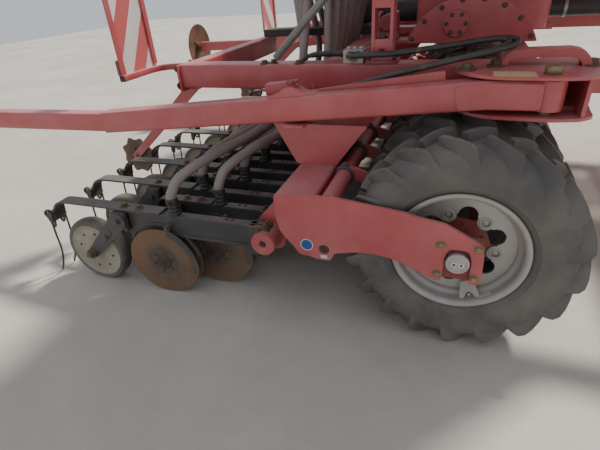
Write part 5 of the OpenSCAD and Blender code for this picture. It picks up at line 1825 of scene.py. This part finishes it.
def make_fan():
    """Fan housing with its grille, feet, motor and the pipe to the metering unit."""
    at = (1120, 180, 1190)
    middle = (at[0], 0, at[2])
    form = Form()
    form.turned([(254, 90), (260, 90), (260, 270), (254, 270)], middle, "y", 72)
    form.slab(round_loop(at[0], at[2], 260, 72), 90, 96, [round_loop(at[0], at[2], 12.5, 20)])
    form.slab(round_loop(at[0], at[2], 260, 72), 264, 270, [round_loop(at[0], at[2], 140, 48)])
    form.turned([(254, 88), (266, 88), (266, 94), (254, 94)], middle, "y", 72)
    form.turned([(254, 266), (266, 266), (266, 272), (254, 272)], middle, "y", 72)
    arc = [(at[0] - 261 * math.cos(math.radians(a)), at[2] - 261 * math.sin(math.radians(a)))
           for a in (75, 68, 61, 54, 47, 40, 35, 30)]
    for y0, y1 in ((90, 96), (264, 270)):
        form.slab([(790, 930), (1060, 930)] + arc + [(790, 1060)], y0, y1)
    form.block(790, 1060, 90, 270, 930, 936)
    form.block(790, 880, 90, 270, 1054, 1060)
    foot = [(90, 910), (270, 910), (250, 936), (110, 936)]
    form.slab(foot, 1060, 1180, across="x")
    placed(form, "fan_case", "chassis", RED, ("fan_housing",), bevel=1.2)
    grille = Form()
    for r in (30, 52, 74, 96, 118, 138):
        grille.turned([(r - 2, 271), (r, 269), (r + 2, 271), (r, 273)], middle, "y",
                      56)
    for k in range(4):
        a = math.radians(45 * k + 10)
        c, s = 146 * math.cos(a), 146 * math.sin(a)
        grille.rod((at[0] - c, 268, at[2] - s), (at[0] + c, 268, at[2] + s), 2.4, 10)
    grille.turned([(0, 267), (14, 267), (14, 273), (0, 273)], middle, "y", 24, False)
    placed(grille, "fan_grille", "chassis", ZINC)
    motor = Form()
    motor.turned([(0, -30), (46, -30), (60, -24), (65, -12), (65, 80), (58, 90), (0, 90)],
                 middle, "y", 40, False)
    motor.turned([(0, 90), (12, 90), (12, 210), (0, 210)], middle, "y", 24, False)
    for k in range(10):
        a = math.radians(36 * k)
        rib = [(66 * math.cos(a - 0.04), 66 * math.sin(a - 0.04)),
               (66 * math.cos(a + 0.04), 66 * math.sin(a + 0.04)),
               (60 * math.cos(a + 0.04), 60 * math.sin(a + 0.04)),
               (60 * math.cos(a - 0.04), 60 * math.sin(a - 0.04))]
        motor.slab([(at[0] + p, at[2] + q) for p, q in rib], -10, 78)
    placed(motor, "fan_motor", "chassis", GREY_CAST, (), sharp=35)
    bolts = Form()
    for k in range(12):
        a = math.radians(30 * k + 8)
        bolts.bolt((at[0] + 200 * math.cos(a), 270, at[2] + 200 * math.sin(a)), 10, 6, "y")
        bolts.bolt((at[0] + 200 * math.cos(a), 90, at[2] + 200 * math.sin(a)), 10, 6, "-y")
    placed(bolts, "fan_bolts", "chassis", DARK_BOLT)
    rotor = Form()
    rotor.slab(round_loop(0, 0, 215, 64), -60, -57, [round_loop(0, 0, 12.3, 20)])
    rotor.turned([(12.3, -57), (40, -57), (40, 34), (34, 40), (12.3, 40)], steps=40)
    rotor.slab(round_loop(0, 0, 215, 64), 37, 40, [round_loop(0, 0, 112, 48)])
    for k in range(12):
        a = math.radians(30 * k)
        bend = []
        for j in range(7):
            r = 110 + 100 * j / 6
            s = a + 0.32 * (j / 6) ** 2
            bend.append((r * math.cos(s), r * math.sin(s)))
        back = [(p[0] - 2.4 * math.sin(a + 0.3), p[1] + 2.4 * math.cos(a + 0.3)) for p in bend]
        rotor.slab(bend + back[::-1], -58, 38)
    mesh = made_mesh(rotor, "fan_wheel", ALLOY, 35)
    set_down(mesh, "fan_wheel", "rotor", ("fan_rotor",), at)
    pipe = Form()
    run = evenly([Vector((300, 180, 995)), Vector((784, 180, 995))], 11)
    pipe.tube(run, [49.8 if k % 2 else 47.0 for k in range(len(run))], 28)
    pipe.block(784, 790, 92, 268, 932, 1058)
    placed(pipe, "air_hose", "chassis", BLACK_HOSE, ("air_pipe",), sharp=75)
    clamps = Form()
    for x in (435, 675, 320, 766):
        clamps.turned([(50, x - 8), (53, x - 8), (53, x + 8), (50, x + 8)], (0, 180, 995), "x",
                      36)
        clamps.bolt((x, 180, 1048), 11, 7, "z", False)
    placed(clamps, "air_hose_clamps", "chassis", STEEL)


make_fan()


def make_distributor():
    """Tower of the distributor with its ribbed riser, domed head and outlets."""
    form = Form()
    rise = [(0, 950), (60, 950)]
    z = 960
    while z < 1548:
        rise += [(60, z), (56, z + 6), (56, z + 14), (60, z + 20)]
        z += 28
    rise += [(60, 1556), (0, 1556)]
    form.turned(rise, (TOWER_X, 0, 0), "z", 40, False)
    form.turned([(0, 1555), (100, 1555), (146, 1568), (150, 1574), (150, 1626), (146, 1632),
                 (112, 1638), (108, 1658), (100, 1665), (0, 1665)], (TOWER_X, 0, 0), "z", 64, False)
    form.slab(eased([(-1240, 910), (-550, 910), (-550, 950), (-1240, 950)], 4, 3), -60, 60)
    form.tube([(TOWER_X, 0, 1020), (-300, 0, 1020)], 55, 32)
    for k in range(24):
        a = math.radians(7.5 + 15 * k)
        c, s = math.cos(a), math.sin(a)
        for near, far, r in ((140, 190, 17.8), (148, 156, 22)):
            form.tube([(TOWER_X + near * c, near * s, 1600),
                       (TOWER_X + far * c, far * s, 1600)], r, 20)
    placed(form, "distributor_tower", "chassis", PLASTIC, ("distributor",),
           bevel=1.0)
    bolts = Form()
    for k in range(12):
        a = math.radians(30 * k)
        bolts.bolt((TOWER_X + 126 * math.cos(a), 126 * math.sin(a), 1634), 10, 7, "z")
    placed(bolts, "distributor_bolts", "chassis", ZINC)


make_distributor()


# Drawbar, leg and steps

def make_drawbar():
    """Drawbar box with its flange, braces and bolts, the eye, the leg and its pin."""
    form = Form()
    side = [(1360, 780), (1360, 940), (1460, 940), (1980, 660), (2560, 600), (2560, 480),
            (1960, 520), (1440, 780)]
    form.slab(eased(side, 14, 4), -70, 70)
    form.slab(eased([(-240, 760), (240, 760), (240, 950), (-240, 950)], 8, 3), 1350, 1372,
              across="x")
    for s in (-1, 1):
        brace = [(1352, s * 240), (1352, s * 180), (1640, s * 60), (1700, s * 60)]
        form.slab(eased(brace, 4, 3), 790, 850, across="z")
    placed(form, "drawbar_box", "chassis", RED, ("drawbar",), bevel=2.5)
    bolts = Form()
    for y in (-215, -130, 130, 215):
        for z in (785, 925):
            bolts.bolt((1372, y, z), 22, 13, "x")
    placed(bolts, "drawbar_bolts", "chassis", DARK_BOLT)
    eye = Form()
    eye.slab(eased([(2555, 512), (2625, 512), (2625, 568), (2555, 568)], 6, 3), -30, 30)
    eye.turned([(25, 517), (27, 515), (60, 515), (65, 521), (65, 559), (60, 565), (27, 565),
                (25, 563)], (2680, 0, 0), "z", 56)
    placed(eye, "drawbar_eye", "chassis", DARK_BOLT, ("hitch_eye",), bevel=1.5)
    sleeve = Form()
    outer = eased([(1650, -220), (1750, -220), (1750, -70), (1650, -70)], 5, 3)
    inner = eased([(1669.7, -200.3), (1730.3, -200.3), (1730.3, -139.7), (1669.7, -139.7)], 3, 3)
    sleeve.slab(outer, 560, 800, [inner], across="z")
    placed(sleeve, "leg_sleeve", "chassis", RED, (), bevel=1.5)
    leg = Form()
    post = eased([(1670, -200), (1730, -200), (1730, -140), (1670, -140)], 4, 3)
    leg.slab(post, 12, 880, across="z")
    foot = eased([(1590, -260), (1810, -260), (1810, -80), (1590, -80)], 16, 4)
    leg.slab(foot, 0, 12, across="z")
    for s in (-1, 1):
        leg.slab([(1700 + s * 30, 12), (1700 + s * 90, 12), (1700 + s * 30, 70)], -174, -166)
    placed(leg, "parking_leg_post", "leg", STEEL, ("parking_leg",), bevel=1.2)
    pin = Form()
    pin.rod((1700, -238, 690), (1700, -221, 690), 9, 20)
    pin.tube(curved([(1700, -232, 690), (1700, -240, 660), (1716, -240, 640), (1728, -236, 655)],
                    5), 2.6, 8)
    placed(pin, "leg_pin", "chassis", ZINC)


make_drawbar()


def make_steps():
    """Ladder with open bar treads, and the loading platform with its grating."""
    form = Form()

    def post(x, y, low, r):
        corners = [(x - 20, y - 20), (x + 20, y - 20), (x + 20, y + 20), (x - 20, y + 20)]
        form.slab(eased(corners, r, 3), low, 1150, across="z")

    post(1370, 560, 380, 5)
    post(1370, 940, 380, 5)
    for z in (400, 650, 900):
        form.block(1350, 1354, 580, 920, z, z + 25)
        form.block(1466, 1470, 580, 920, z, z + 25)
        form.block(1350, 1470, 580, 584, z, z + 25)
        form.block(1350, 1470, 916, 920, z, z + 25)
        for k in range(8):
            y = 584 + 42 * k
            form.block(1354, 1466, y, y + 4, z + 4, z + 24.8)
        for x in (1380, 1410, 1440):
            form.block(x, x + 4, 584, 916, z + 8, z + 22)
    for y in (540, 954):
        form.block(870, 1390, y, y + 6, 1150, 1180)
    for x in (870, 1384):
        form.block(x, x + 6, 540, 960, 1150, 1180)
    for k in range(14):
        x = 900 + 35 * k
        form.block(x, x + 4, 546, 954, 1156, 1179.5)
    for k in range(9):
        y = 580 + 44 * k
        form.block(876, 1384, y, y + 4, 1160, 1176)
    post(900, 940, 910, 4)
    post(1100, 560, 910, 4)
    placed(form, "ladder_and_platform", "chassis", BLACK, ("steps",), bevel=0.6)


make_steps()




# Floor and light

def set_stage():
    """Pale floor, a soft low sun from behind and an even sky."""
    floor = bpy.data.meshes.new("pale_floor")
    floor.from_pydata([(-14, -12, 0), (14, -12, 0), (14, 16, 0), (-14, 16, 0)], [],
                      [(0, 1, 2, 3)])
    floor.materials.append(FLOOR)
    ground = bpy.data.objects.new("pale_floor", floor)
    bpy.context.scene.collection.objects.link(ground)
    sun = bpy.data.lights.new("key", "SUN")
    sun.energy = 4.6
    sun.angle = math.radians(6)
    sun.color = (1.0, 0.95, 0.87)
    key = bpy.data.objects.new("key", sun)
    bpy.context.scene.collection.objects.link(key)
    key.rotation_euler = Vector((0.45, 0.55, 0.85)).to_track_quat("Z", "Y").to_euler()
    world = bpy.data.worlds.new("studio")
    world.use_nodes = True
    world.node_tree.nodes["Background"].inputs["Color"].default_value = (0.80, 0.84, 0.90, 1)
    world.node_tree.nodes["Background"].inputs["Strength"].default_value = 0.75
    bpy.context.scene.world = world


FLOOR = finish("pale floor", (0.56, 0.53, 0.48), (0.48, 0.45, 0.40), rough=0.85, dust=0.0,
               mottle=1.2, grain=60.0, depth=0.003)
set_stage()
